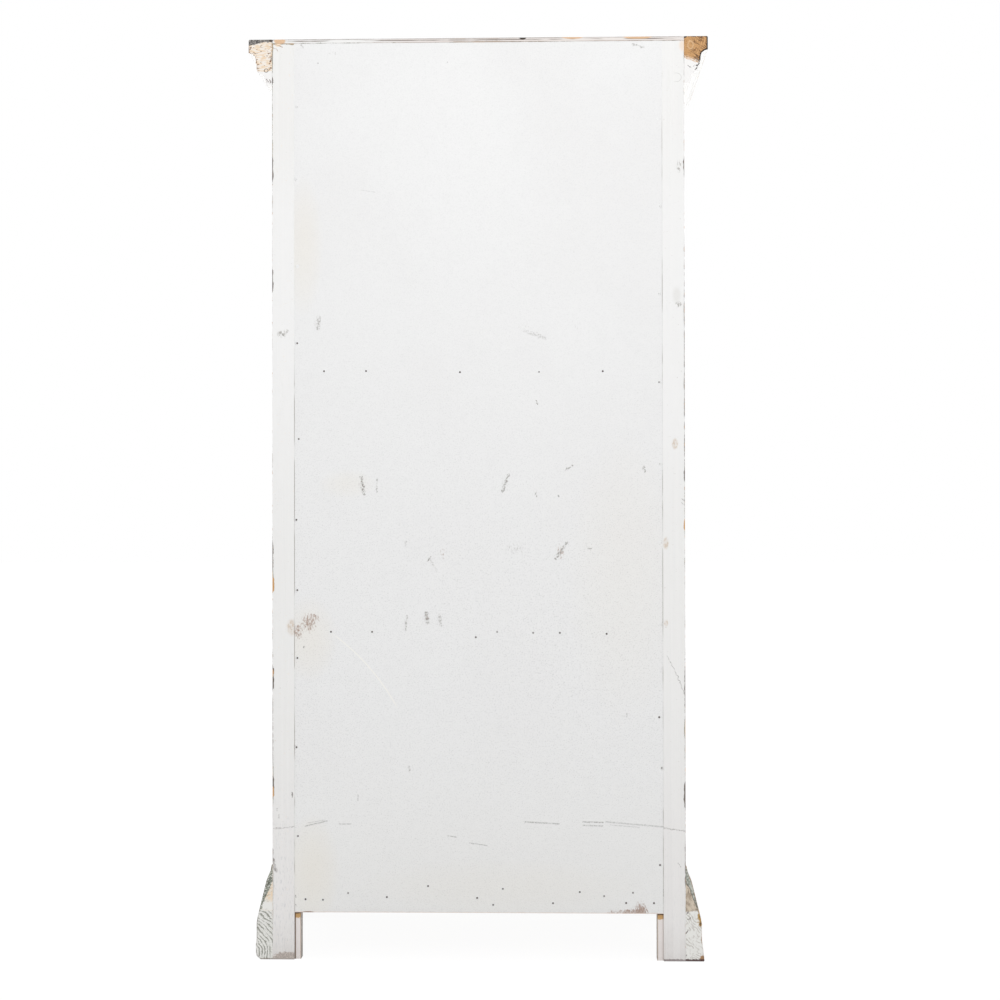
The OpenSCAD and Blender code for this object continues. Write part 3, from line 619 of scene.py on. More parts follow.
def foot_line(graph, side):
    """The dark line along the bottom of a rear foot."""
    line = graph.z + graph.noise_at((220, 1, 220), 3).spread(3.0 * MM)
    if side > 0:
        height, strength, colour = 2.6 * MM, 0.7, (0.22, 0.18, 0.15)
    else:
        height, strength, colour = 4.4 * MM, 0.95, (0.085, 0.045, 0.045)
    found = line.ramp(height + 0.8 * MM, height - 0.8 * MM, 0.0, strength)
    graph.layer(at_back(graph) * found, colour, 0.8)


# ------------------------------------------------------------------ pieces with marks of their own

def arris_chips(graph, side, chips):
    """Chips on the outer rear arris: height, half length and how far in each reaches, in millimetres."""
    reach = 0.0
    for height, half, width in chips:
        away = abs(graph.z - height * MM)
        reach = graph.more(reach, away.ramp(half * MM, half * 0.5 * MM, 0.0, width * MM))
    from_side = graph.x * -side + X_OUT
    inward = graph.more(from_side, Y_BACK - graph.y)
    ragged = graph.noise(240, along=0.35, detail=3).spread(2.6 * MM)
    depth = inward + ragged - reach
    return depth.ramp(0.0, -0.5 * MM)


def finish_rear_post(graph, side):
    """A rear post: painted light high on its back and painted shade low down, knots and smudges on its back,
    chips down its arris, bare wood in its rebate's foot.
    """
    back = at_back(graph)
    # Painted light: the back is made paler from 0.8 m to 1.75 m up. Below that it is made darker towards the
    # floor, as painted shade.
    painted_light_high = graph.z.ramp(0.8, 1.2) * graph.z.ramp(1.75, 1.50, 0.0, 0.6)
    graph.layer(back * painted_light_high, (0.895, 0.895, 0.895))
    graph.layer(back * graph.z.ramp(0.6, 0.1, 0.0, 0.50), (0.80, 0.79, 0.78))
    bands = graph.noise(170, along=0.004, detail=2).ramp(0.50, 0.62, 0.0, 0.35)
    graph.layer(back * bands, (0.90, 0.895, 0.885))
    speckle = graph.noise(330, along=0.5, detail=3).ramp(0.42, 0.62)
    grain = graph.noise(420, along=0.2, detail=3).ramp(0.54, 0.68)
    graph.layer(back * grain * graph.z.ramp(0.45, 0.05, 0.0, 0.60 if side > 0 else 0.15), (0.52, 0.54, 0.56))
    if side > 0:
        knots_at = [(0.405, 1.290, 15 * MM, 11 * MM), (0.396, 1.296, 8 * MM, 6 * MM)]
        chips = [
            (1631, 30, 2.6), (1402, 30, 2.4), (835, 40, 1.8), (580, 30, 3.2),
            (1815, 8, 2.2), (470, 90, 1.2), (355, 28, 3.4), (215, 20, 1.6),
        ]
        orange = [(772, 20, 4.2), (345, 14, 3.0), (590, 10, 2.5)]
        brown = [(0.384, 0.684, 18 * MM, 26 * MM)]
        scuffs = [
            (424, 269, 366, 274.5, 1.6, 0.5), (413.5, 298, 411, 290, 1.5, 0.7),
            (385.5, 343, 384.5, 333, 1.8, 1.0), (421.5, 192, 418, 183, 5.0, 1.0),
            (424, 206, 421.5, 190, 4.0, 1.0), (416, 312, 415.5, 307, 1.3, 0.7),
        ]
        foot = graph.blot(0.396, -0.004, 46 * MM, 27 * MM)
    else:
        knots_at = [(-0.414, 1.632, 7 * MM, 19 * MM), (-0.413, 1.348, 11 * MM, 9 * MM)]
        halo = graph.blot(-0.409, 1.367, 14 * MM, 26 * MM).ramp(0.0, 0.8, 0.0, 0.4)
        graph.layer(back * halo, (0.70, 0.69, 0.66))
        chips = [
            (1630, 25, 1.8), (1200, 330, 0.9), (995, 16, 2.4), (560, 50, 1.6),
            (340, 34, 3.4), (200, 60, 1.4),
        ]
        orange = [(895, 14, 2.6)]
        brown = [
            (-0.386, 0.857, 9 * MM, 19 * MM), (-0.405, 1.061, 10 * MM, 17 * MM),
            (-0.386, 0.693, 7 * MM, 10 * MM),
        ]
        scuffs = [
            (-368, 274.5, -423.5, 267, 2.0, 0.7), (-387.7, 625.6, -409, 585, 1.1, 0.6),
            (-409, 585, -423, 548, 1.3, 0.8), (-417, 940, -424.5, 935, 1.2, 0.7),
            (-418, 948, -424.5, 945, 1.2, 0.6), (-409, 201, -415, 194, 1.5, 0.7),
        ]
        foot = graph.blot(-0.40, -0.006, 34 * MM, 9 * MM)
    graph.layer(back * graph.blots(knots_at).ramp(0.05, 0.7, 0.0, 0.85) * speckle, SMUDGE, 0.7)
    stain = graph.blots(brown).ramp(0.05, 0.7, 0.0, 0.60) * speckle.ramp(0.0, 1.0, 0.35, 1.0)
    graph.layer(back * stain, (0.56, 0.41, 0.27), 0.7)
    graph.layer(arris_chips(graph, side, chips), (0.13, 0.105, 0.09), 0.8, -0.2)
    graph.layer(arris_chips(graph, side, orange), (0.60, 0.33, 0.13), 0.75, -0.2)
    scuffed = graph.dashes(scuffs) * speckle.ramp(0.0, 1.0, 0.45, 0.9)
    graph.layer(back * scuffed, (0.17, 0.15, 0.14))
    worn = foot + graph.noise_at((200, 1, 330), 4).spread(0.35)
    tone = graph.mix(graph.noise_at((330, 1, 330), 3).ramp(0.4, 0.6), (0.22, 0.17, 0.13), (0.46, 0.38, 0.32))
    graph.layer(back * worn.ramp(0.10, 0.30, 0.0, 0.95), tone, 0.8)
    finish_top_of_post(graph, side, back)
    finish_rebate(graph, side)
    foot_line(graph, side)
    warm = back * graph.z.ramp(0.5, 0.0, 0.0, 0.30)
    graph.layer(warm, (0.83, 0.79, 0.78))
    return graph.finish()


def finish_top_of_post(graph, side, back):
    """Bare and stained wood beside the end of the cornice."""
    if side > 0:
        peach = graph.blot(0.413, 1.890, 13 * MM, 9 * MM) + graph.noise(200, detail=3).spread(0.6)
        graph.layer(back * peach.ramp(0.15, 0.60, 0.0, 0.9), (0.90, 0.72, 0.54), 0.75)
        cracks = graph.dashes([
            (421.5, 1890.5, 403, 1883, 0.9, 1.0), (424, 1885, 413, 1876, 0.8, 0.8),
        ])
        graph.layer(back * cracks, (0.30, 0.16, 0.08), 0.8)
    else:
        blush = graph.blot(-0.4230, 1.8810, 13 * MM, 20 * MM)
        graph.layer(back * blush.ramp(0.0, 0.8, 0.0, 0.75), (0.90, 0.74, 0.60), 0.7)
        ring = abs(graph.blot(-0.4090, 1.8150, 17 * MM, 15 * MM) - 0.35)
        outer = graph.x.ramp(-0.402, -0.410)
        graph.layer(back * outer * ring.ramp(0.07, 0.0, 0.0, 0.5), SMUDGE, 0.7)


def finish_rebate(graph, side):
    """The rebate's face below the back sheet: bare at the top, painted shadow under the sheet's edge and
    painted shade in its corner, painted below.
    """
    inner = graph.y < Y_PANEL + 0.6 * MM
    inner = inner * (graph.y > Y_PANEL - 0.6 * MM)
    out = graph.x * side
    corner = (SHEET_X - out).ramp(3.2 * MM, 1.2 * MM)
    lip = (out - (SHEET_X - 0.013)).ramp(2.2 * MM, 0.8 * MM)
    depth = SHEET_Z - graph.z
    depth = depth + graph.noise(200, detail=2).spread(3 * MM)
    bare = depth.ramp(14 * MM, 11 * MM)
    shade = depth.ramp(4.5 * MM, 2.5 * MM)
    graph.layer(inner, (0.86, 0.81, 0.79), 0.7)
    graph.layer(inner * bare, (0.60, 0.37, 0.16), 0.75)
    # Painted shadow: a dark band just under the back sheet's bottom edge.
    graph.layer(inner * shade, (0.13, 0.075, 0.04), 0.8)
    # Painted shade in the rebate's corner, at its step up to the post's face.
    graph.layer(inner * corner * (1.0 if side > 0 else 0.3), (0.16, 0.10, 0.06), 0.8)
    graph.layer(inner * lip * 0.75, (0.40, 0.28, 0.19), 0.8)


def finish_top_board(graph):
    """The top board: dusty worn paint on top, and a rear edge with two long wear lines."""
    back = at_back(graph)
    drop = TOP_Z - graph.z
    broken = graph.noise(220, along=0.06, detail=3).ramp(0.38, 0.54)
    longer = graph.noise(30, along=0.15, detail=2).ramp(0.42, 0.56)
    upper = drop.ramp(2.8 * MM, 1.6 * MM)
    lower = abs(drop - 4.4 * MM).ramp(1.2 * MM, 0.4 * MM)
    foot = (graph.z - graph.low.z).ramp(1.8 * MM, 0.9 * MM)
    graph.layer(back * graph.x.ramp(0.26, 0.10, 0.0, 0.55), (0.80, 0.72, 0.68), 0.7)
    graph.layer(back * upper * broken.ramp(0.0, 1.0, 0.35, 0.70), (0.36, 0.32, 0.30), 0.75)
    graph.layer(back * lower * broken * longer, (0.16, 0.11, 0.09), 0.75)
    seam = broken.ramp(0.0, 1.0, 0.25, 0.75) * graph.x.ramp(0.30, 0.24, 0.3, 1.0)
    graph.layer(back * foot * seam, (0.36, 0.25, 0.20), 0.75)
    bare = graph.blots([
        (-0.195, TOP_Z, 34 * MM, 6 * MM), (-0.330, TOP_Z - 1 * MM, 44 * MM, 6 * MM),
        (0.409, TOP_Z - 4 * MM, 18 * MM, 10 * MM),
    ])
    bare = (bare + graph.noise(120, along=0.3).spread(0.2)).ramp(0.15, 0.45, 0.0, 0.85)
    graph.layer(back * bare, (0.74, 0.46, 0.25), 0.75)
    dents = graph.blots([(-0.0935, TOP_Z - 1 * MM, 10 * MM, 5 * MM), (0.4265, TOP_Z, 5 * MM, 8 * MM)])
    graph.layer(back * dents.ramp(0.1, 0.35), GRIME_AND_SHADE, 0.8, -0.3)
    return graph.finish()


# Soft marks on the back sheet: x, z, half width and half height in millimetres, and strength
GREY_MARKS = [
    (332, 1313, 10, 22, 0.55), (322, 1300, 10, 16, 0.35),
    (-95, 1302, 30, 10, 0.4), (-125, 1288, 20, 14, 0.4), (-206, 1298, 18, 12, 0.35),
    (240, 978, 10, 26, 0.6), (-56, 982, 10, 26, 0.45),
    (72, 838, 12, 12, 0.35), (98, 824, 14, 12, 0.4),
    (-80, 846, 40, 20, 0.42), (-227, 847, 20, 12, 0.42),
    (148, 692, 8, 24, 0.45), (107, 703, 14, 18, 0.6), (80, 697, 10, 18, 0.5),
    (-200, 1460, 22, 12, 0.25), (190, 1150, 40, 20, 0.2), (300, 1871, 30, 8, 0.4),
]
BROWN_MARKS = [
    (-170, 842, 12, 24, 0.6), (73, 836, 10, 16, 0.5), (106, 704, 10, 16, 0.5),
    (350, 694, 22, 30, 0.75), (372, 676, 14, 24, 0.75), (338, 704, 16, 14, 0.7),
    (-312, 94, 46, 16, 1), (-333, 98, 20, 30, 1), (-277, 94, 18, 14, 0.9),
]
CREAM_MARKS = [
    (360, 1470, 40, 150, 0.45), (350, 660, 60, 90, 0.45), (345, 180, 60, 120, 0.55),
    (-300, 780, 120, 300, 0.2), (-50, 150, 300, 60, 0.2), (270, 980, 60, 30, 0.3),
]
# Ragged dark smudges and thin scuffed lines: two ends and a half width in millimetres, and strength
SMUDGES = [
    (241, 993, 235, 958, 3.6, 1.0), (208.5, 990, 208.5, 963, 2.0, 0.6),
    (-62.5, 998, -50, 963, 3.8, 0.75), (328, 1324, 330, 1300, 4.0, 0.6),
    (-97, 1294, -138, 1280, 4.6, 0.35), (-120.5, 1152, -122.5, 1144, 2.2, 1.0),
    (-179, 1008, -195, 1017, 2.2, 0.8), (-341, 1014, -343, 1004, 2.8, 0.8),
    (-119, 963, -120, 953, 2.0, 0.8), (148.7, 860, 149, 852, 2.0, 0.7),
    (105, 821.5, 97, 829, 2.6, 1.0), (97, 822, 85, 801, 2.2, 0.4),
    (-182, 858, -160, 825, 3.8, 0.75), (147, 708, 150, 679, 3.2, 0.6),
    (106.5, 713, 104.5, 694, 5.0, 0.85), (80, 708, 77, 689, 3.8, 0.5),
    (143, 397, 142.5, 388, 3.0, 0.6), (366, 1888.5, 361, 1883, 2.6, 0.8),
    (-319, 1884, -343, 1878, 2.4, 0.6), (-226, 848, -234, 846, 2.0, 0.6),
]
SCUFFS = [
    (-165, 956, -166.5, 953, 2.0, 1.0), (359.8, 645, 360.5, 642, 2.0, 0.9),
    (248.3, 339, 248.7, 327, 1.4, 0.7), (18, 241, -17.5, 235.5, 1.5, 0.7),
    (377.5, 132, 377.3, 128, 1.5, 1.0), (377.2, 113, 377, 110, 1.5, 1.0),
    (-380, 147, -380.2, 133, 1.7, 1.0), (-305.5, 508, -305, 501, 1.6, 0.5),
    (62.8, 255.5, 46.3, 253, 1.5, 0.7), (358, 274.5, 312, 285.2, 2.0, 0.7),
    (352, 281, 318, 287, 1.3, 0.5), (287.6, 279.1, 262.8, 279.2, 1.6, 0.6),
    (-95.7, 284.4, -165.5, 280.5, 1.9, 0.75), (-214.8, 284.8, -255.8, 284, 1.9, 0.75),
    (-214.8, 278, -255.8, 276.7, 1.9, 0.7), (-262, 284.9, -382.8, 275.1, 2.3, 0.55),
    (-270, 279, -330, 274, 1.5, 0.4), (241, 1587, 212, 1582.7, 1.5, 0.25),
]
# A long pale scratch: start, end, half width, bow
SCRATCH = ((0.3020, 0.6720), (0.1650, 0.5150), 1.6 * MM, -0.012)


def finish_back_sheet(name, low, high):
    """The rollered back sheet: orange-peel stipple, marks, scratches, painted shade darkening its lower part,
    a dirty lower edge and dark joints.
    """
    graph = Graph(name, low, high)
    peel = graph.noise(330, detail=3, rough=0.6)
    blotch = graph.noise(26, detail=4)
    wide = graph.noise(3.2, detail=2)
    graph.colour = graph.mix(wide.ramp(0.4, 0.7, 0.0, 0.45), (0.852, 0.853, 0.852), (0.838, 0.832, 0.830))
    graph.layer(blotch.ramp(0.5, 0.8, 0.0, 0.22), (0.80, 0.80, 0.80))
    graph.layer(peel.ramp(0.48, 0.70, 0.0, 0.34), (0.745, 0.745, 0.75))
    pits = graph.noise(420, detail=2).ramp(0.56, 0.68) * graph.z.ramp(1.4, 0.7, 0.12, 0.5)
    graph.layer(pits, (0.56, 0.56, 0.56))
    # Painted shade: the sheet is made darker towards the floor.
    painted_shade_low = graph.z.ramp(0.55, 0.10, 0.0, 0.40)
    graph.layer(painted_shade_low, (0.825, 0.822, 0.80))
    marks = graph.add("ShaderNodeAttribute", {}, out="Color", attribute_name="marks")
    grey, brown, cream = graph.add("ShaderNodeSeparateColor", {0: marks}, out=None)
    speckle = graph.noise(380, detail=3)
    graph.layer(cream * 0.55, CREAM)
    for mask, colour, strength in ((grey, SMUDGE, 0.62), (brown, RUST, 0.80)):
        broken = mask + graph.noise_at((360, 1, 170), 3).spread(1.0)
        graph.layer(broken.ramp(0.35, 0.95, 0.0, strength) * mask.ramp(0.0, 0.25), colour)
    graph.layer(graph.stroke(*SCRATCH) * 0.85, (0.93, 0.915, 0.87), 0.5, -0.1)
    depth = Y_BACK - 0.75 * MM
    gaps = graph.noise_at((300, 1, 300), 3).ramp(0.44, 0.56, 0.12, 0.95)
    graph.layer(graph.dashes(SMUDGES, depth, 2.4) * gaps, (0.24, 0.22, 0.20), 0.7)
    gaps = speckle.ramp(0.40, 0.56, 0.25, 0.85)
    graph.layer(graph.dashes(SCUFFS, depth, 0.5) * gaps, (0.24, 0.23, 0.22), 0.7)
    inward = SHEET_X - abs(graph.x)
    open_joint = graph.noise(9, along=0.7, detail=3).ramp(0.44, 0.54, 0.10, 0.80)
    filled = (graph.x * 0.60 + graph.z).ramp(1.44, 1.53, 1.0, 0.0)
    joint = inward.ramp(1.5 * MM, 0.6 * MM) * open_joint * filled
    graph.layer(joint, (0.22, 0.18, 0.15), 0.8)
    rise = graph.z - SHEET_Z
    hem = (rise + graph.noise(90).spread(1.5 * MM)).ramp(2.6 * MM, 1.0 * MM)
    graph.layer(hem * 0.55, (0.82, 0.68, 0.60), 0.8)
    dash = graph.blot(0.352, SHEET_Z, 18 * MM, 3 * MM).ramp(0.1, 0.4)
    graph.layer(dash, (0.30, 0.17, 0.12), 0.8)
    graph.rough = wide.ramp(0.3, 0.7, 0.50, 0.62)
    graph.raise_by(peel, 0.22)
    graph.raise_by(blotch, 0.6)
    return graph.finish()


# ------------------------------------------------------------------ meshes

def add_object(name, data):
    thing = bpy.data.objects.new(name, data)
    bpy.context.scene.collection.objects.link(thing)
    return thing


def add_piece(mesh, body):
    """Puts a mesh in the scene as a piece that rides on a body."""
    piece = add_object(mesh.name, mesh)
    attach(piece, body)
    return piece


def make_piece(name, points, faces, body, material):
    mesh = bpy.data.meshes.new(name)
    mesh.from_pydata([tuple(p) for p in points], [], faces)
    mesh.update()
    mesh.materials.append(material)
    return add_piece(mesh, body)


def set_material(piece, material):
    piece.data.materials.clear()
    piece.data.materials.append(material)


def wall(first, count, rings, flip=False):
    """Faces between rings of count points each, whose points follow each other from first, and two caps.

    The caps come last: the one over the last ring, then the one over the first.
    """
    faces = []
    for ring in range(rings - 1):
        for i in range(count):
            a = first + ring * count + i
            b = first + ring * count + (i + 1) % count
            faces.append((a, b, b + count, a + count))
    last = first + (rings - 1) * count
    faces.append(tuple(range(last, last + count)))
    faces.append(tuple(range(first + count - 1, first - 1, -1)))
    return [face[::-1] for face in faces] if flip else faces


def round_sides(piece, turns):
    """Smooth shading on all faces but the caps, which have turns corners."""
    for face in piece.data.polygons:
        face.use_smooth = len(face.vertices) < turns


def cleaned_copy(mesh):
    """A bmesh of a mesh, with its corners joined."""
    solid = bmesh.new()
    solid.from_mesh(mesh)
    bmesh.ops.remove_doubles(solid, verts=solid.verts, dist=1e-6)
    return solid


def islands(node):
    """Lowest and highest corner of each separate solid in a node, in order of height and then of x."""
    solid = cleaned_copy(NODES[node].data)
    seen, found = set(), []
    for start in solid.verts:
        if start in seen:
            continue
        group, queue = [], [start]
        seen.add(start)
        while queue:
            point = queue.pop()
            group.append(point.co.copy())
            for edge in point.link_edges:
                other = edge.other_vert(point)
                if other not in seen:
                    seen.add(other)
                    queue.append(other)
        low = Vector([min(p[axis] for p in group) for axis in range(3)])
        high = Vector([max(p[axis] for p in group) for axis in range(3)])
        found.append((low, high))
    solid.free()
    return sorted(found, key=lambda box: (round(box[0].z, 4), round(box[0].x, 4)))


def smoothing_group(limit):
    """Geometry nodes that shade smoothly except across edges sharper than limit."""
    group = bpy.data.node_groups.new("smooth_by_angle", "GeometryNodeTree")
    for direction in ("INPUT", "OUTPUT"):
        group.interface.new_socket("Geometry", in_out=direction, socket_type="NodeSocketGeometry")
    start = add_node(group, "NodeGroupInput")
    angle = add_node(group, "GeometryNodeInputMeshEdgeAngle")
    sharp = add_node(group, "FunctionNodeCompare", {0: angle.outputs["Unsigned Angle"], 1: limit})
    faces = add_node(group, "GeometryNodeSetShadeSmooth", {"Geometry": start.outputs[0]})
    inputs = {"Geometry": faces.outputs[0], "Selection": sharp.outputs[0], "Shade Smooth": False}
    edges = add_node(group, "GeometryNodeSetShadeSmooth", inputs, domain="EDGE")
    add_node(group, "NodeGroupOutput", {0: edges.outputs[0]})
    return group


SMOOTH = smoothing_group(math.radians(50))
FLAT_ANGLE = math.radians(0.8)
ARRIS_ANGLE = math.radians(35)
METAL_ARRIS = 0.35 * MM
POST_ARRIS = 0.8 * MM
RAW_ARRIS = 1.0 * MM
PAINTED_ARRIS = 1.2 * MM


def shade_by_angle(piece):
    piece.modifiers.new("smooth", "NODES").node_group = SMOOTH


def shade_by_face(piece):
    """Smooth shading in which the large faces stay flat."""
    shade_by_angle(piece)
    piece.modifiers.new("shade", "WEIGHTED_NORMAL").keep_sharp = True


def soften(piece, width):
    """Rounds the arrises of a piece and shades it as a made thing, not as facets."""
    if "custom_normal" in piece.data.attributes:
        piece.data.attributes.remove(piece.data.attributes["custom_normal"])
    piece.modifiers.new("weld", "WELD").merge_threshold = 1e-6
    flat = piece.modifiers.new("flat", "DECIMATE")
    flat.decimate_type = "DISSOLVE"
    flat.angle_limit = FLAT_ANGLE
    bevel = piece.modifiers.new("arris", "BEVEL")
    bevel.width = width
    bevel.segments = 2
    bevel.limit_method = "ANGLE"
    bevel.angle_limit = ARRIS_ANGLE
    shade_by_face(piece)


# ------------------------------------------------------------------ the back sheet and its nails

def mark_strength(x, z, marks):
    """How strongly a point, in metres, lies in any of the marks, from 0 to 1."""
    strongest = 0.0
    for mark_x, mark_z, half_x, half_z, strength in marks:
        away = ((x / MM - mark_x) / half_x) ** 2 + ((z / MM - mark_z) / half_z) ** 2
        strongest = max(strongest, strength * max(0.0, 1.0 - away))
    return strongest


SHEET_PITCH = 7 * MM
SHEET_BOW = 0.2 * MM
SHEET_RIM_DROP = 0.5 * MM


def bow_depth(x, z):
    """How deep the bowed sheet lies under the back's plane."""
    return SHEET_BOW * (3.8 + math.sin(7.3 * x + 1.1 * math.sin(5 * z)) * math.sin(5.9 * z + 0.7))


def back_sheet():
    """The thin nailed sheet: a fine grid, a little bowed, that keeps the marks on its points."""
    low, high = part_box("back_panel")
    columns = round((high.x - low.x) / SHEET_PITCH)
    rows = round((high.z - low.z) / SHEET_PITCH)
    points, faces, marks = [], [], []
    kinds = (GREY_MARKS, BROWN_MARKS, CREAM_MARKS)
    for row in range(rows + 1):
        for column in range(columns + 1):
            x = low.x + (high.x - low.x) * column / columns
            z = low.z + (high.z - low.z) * row / rows
            rim = row in (0, rows) or column in (0, columns)
            points.append((x, high.y - bow_depth(x, z) - (SHEET_RIM_DROP if rim else 0.0), z))
            marks.append([mark_strength(x, z, kind) for kind in kinds] + [1.0])
    stride = columns + 1
    for row in range(rows):
        for column in range(columns):
            corner = row * stride + column
            faces.append((corner, corner + stride, corner + stride + 1, corner + 1))
    rim = list(range(columns))
    rim += [columns + row * stride for row in range(rows)]
    rim += [rows * stride + column for column in range(columns, 0, -1)]
    rim += [row * stride for row in range(rows, 0, -1)]
    inner = len(points)
    points += [(points[i][0], low.y, points[i][2]) for i in rim]
    count = len(rim)
    for i in range(count):
        after = (i + 1) % count
        faces.append((rim[i], rim[after], inner + after, inner + i))
    faces.append(tuple(inner + i for i in range(count)))
    marks += [[0.0, 0.0, 0.0, 1.0]] * count
    material = finish_back_sheet("back_sheet", low, high)
    sheet = make_piece("back_sheet", points, faces, "carcass", material)
    kept = sheet.data.attributes.new("marks", "FLOAT_COLOR", "POINT")
    kept.data.foreach_set("color", [channel for mark in marks for channel in mark])
    shade_by_angle(sheet)
    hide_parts("back_panel")


back_sheet()


# Radius of a nail's rings, and their height over the sheet where the head is bare and where it is painted
# over, all in millimetres
NAIL_PROFILE = [
    (4.2, -0.25, -0.25), (3.2, 0.12, 0.05), (2.3, 0.40, 0.13),
    (1.6, 0.08, 0.12), (1.4, 0.30, 0.11), (0.7, 0.10, 0.08),
]
NAIL_TURNS = 12
NAIL_HEAD = 2.0


def nail_heads():
    """Hand-driven nails: dished heads in low craters of paint, which still covers most of the high ones."""
    draw = random.Random("nails")
    points, faces, bare = [], [], []
    for low, high in islands("back_nails"):
        if high.x - low.x < 2 * MM:
            continue
        centre = (low + high) / 2
        covered = centre.z > 1.3 or (centre.x < -0.35 and 0.6 < centre.z < 1.1)
        share = draw.uniform(0.0, 0.35) if covered else draw.uniform(0.55, 1.0)
        surface = Y_BACK - bow_depth(centre.x, centre.z)
        first = len(points)
        for radius, bare_rise, covered_rise in NAIL_PROFILE:
            y = surface + (covered_rise + (bare_rise - covered_rise) * share) * MM
            for i in range(NAIL_TURNS):
                angle = 2 * math.pi * i / NAIL_TURNS
                x, z = centre.x + radius * MM * math.cos(angle), centre.z + radius * MM * math.sin(angle)
                points.append((x, y, z))
                bare.append(share if radius < NAIL_HEAD else 0.0)
        faces += wall(first, NAIL_TURNS, len(NAIL_PROFILE), flip=True)
    heads = make_piece("nail_heads", points, faces, "carcass", finish_nail_heads())
    heads.data.attributes.new("bare", "FLOAT", "POINT").data.foreach_set("value", bare)
    round_sides(heads, NAIL_TURNS)
    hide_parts("back_nails")


def finish_nail_heads():
    """Rusty iron where a head is bare, the sheet's paint elsewhere, darker lower down as painted shade."""
    low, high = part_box("back_nails")
    graph = Graph("nail_heads", low, high)
    # Painted shade: the paint on the heads is darker lower down, as on the sheet.
    graph.colour = graph.mix(graph.z.ramp(0.2, 1.4), (0.80, 0.80, 0.79), (0.86, 0.86, 0.86))
    bare = graph.add("ShaderNodeAttribute", {}, out="Fac", attribute_name="bare")
    rust = graph.noise(900, detail=2)
    iron = graph.mix(rust, (0.022, 0.018, 0.020), (0.09, 0.055, 0.04))
    graph.layer(bare.ramp(0.05, 0.85), iron, 0.7)
    return graph.finish()


nail_heads()


# ------------------------------------------------------------------ fielded panels

TONGUE = 8 * MM
ARCH_RISE = 40 * MM
SLOPE_START = 12 * MM
FIELD_START = 42 * MM
TONGUE_DEPTH = 7.6 * MM
FIELD_DEPTH = 11.8 * MM
FIELD_STEP = 0.9 * MM
ARCH_STEPS = 24


def panel_outline(low, high, rise, inset):
    """Corners of a panel shrunk by inset: a rectangle, or one with an arched top if it has a rise."""
    (u0, v0), (u1, v1) = low, high
    outline = [(u0 + inset, v0 + inset), (u1 - inset, v0 + inset)]
    if not rise:
        return outline + [(u1 - inset, v1 - inset), (u0 + inset, v1 - inset)]
    middle = (u0 + u1) / 2
    half = (u1 - u0) / 2 - TONGUE
    radius = (half ** 2 + rise ** 2) / (2 * rise)
    centre = v1 - TONGUE - radius
    reach = radius + TONGUE - inset
    spread = math.asin((half + TONGUE - inset) / reach)
    for i in range(ARCH_STEPS + 1):
        angle = spread * (1 - 2 * i / ARCH_STEPS)
        outline.append((middle + reach * math.sin(angle), centre + reach * math.cos(angle)))
    return outline


def fielded_panel(node, across, rise, body):
    """A tongued panel with a sloped border up to a raised field. across is the axis of its width, 0 or 1.

    Depths run from the panel's inner face to the front of its tongue and of its field.
    """
    low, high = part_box(node)
    through = 1 - across
    outward = -1 if across == 0 else (1 if low.x > 0 else -1)
    base = high[through] if outward < 0 else low[through]

    def place(u, v, depth):
        point = [0.0, 0.0, v]
        point[across], point[through] = u, base + outward * depth
        return point

    brink = FIELD_DEPTH - FIELD_STEP
    profile = [
        (0.0, 0.0), (0.0, TONGUE_DEPTH), (SLOPE_START, TONGUE_DEPTH),
        (FIELD_START - 2.5 * MM, brink), (FIELD_START - 1.6 * MM, brink),
        (FIELD_START - 1.2 * MM, FIELD_DEPTH - 0.2 * MM), (FIELD_START, FIELD_DEPTH),
    ]
    points = []
    for inset, depth in profile:
        ring = panel_outline((low[across], low.z), (high[across], high.z), rise, inset)
        points += [place(u, v, depth) for u, v in ring]
    faces = wall(0, len(points) // len(profile), len(profile))
    material = finish_panel(node, low, high, across)
    panel = make_piece(node + "_fielded", points, faces, body, material)
    solid = bmesh.new()
    solid.from_mesh(panel.data)
    bmesh.ops.recalc_face_normals(solid, faces=solid.faces)
    solid.to_mesh(panel.data)
    solid.free()
    shade_by_face(panel)
    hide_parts(node)


def finish_panel(name, low, high, across):
    """Painted pine, darkened along the frame that holds the panel's tongue: dirt and painted shade in the
    recess.
    """
    graph = painted_pine(name, low, high, wear=0.45, bent=3 * MM, warmth=0.45)
    gaps = graph.box_gaps()
    near = (graph.less(gaps[across], gaps[2]) - TONGUE) * (1 / MM)
    ragged = near + graph.noise(60, detail=3).spread(4.0)
    # Dirt and painted shade: darker within about 7 mm of the frame, where the recess is shaded.
    graph.layer(ragged.ramp(7.0, 0.0, 0.0, 0.55), (0.42, 0.37, 0.30), 0.75)
    return graph.finish()


for side in ("left", "right"):
    fielded_panel(f"side_panel_{side}", 1, 0.0, "carcass")
    fielded_panel(f"{side}_door_upper_panel", 0, ARCH_RISE, f"{side}_door")
    fielded_panel(f"{side}_door_lower_panel", 0, 0.0, f"{side}_door")


# ------------------------------------------------------------------ screws and pins

def frame_of(normal, turn):
    """Two directions square to normal, turned about it."""
    normal = Vector(normal)
    first = normal.orthogonal().normalized()
    first.rotate(Matrix.Rotation(turn, 3, normal))
    return first, normal.cross(first), normal


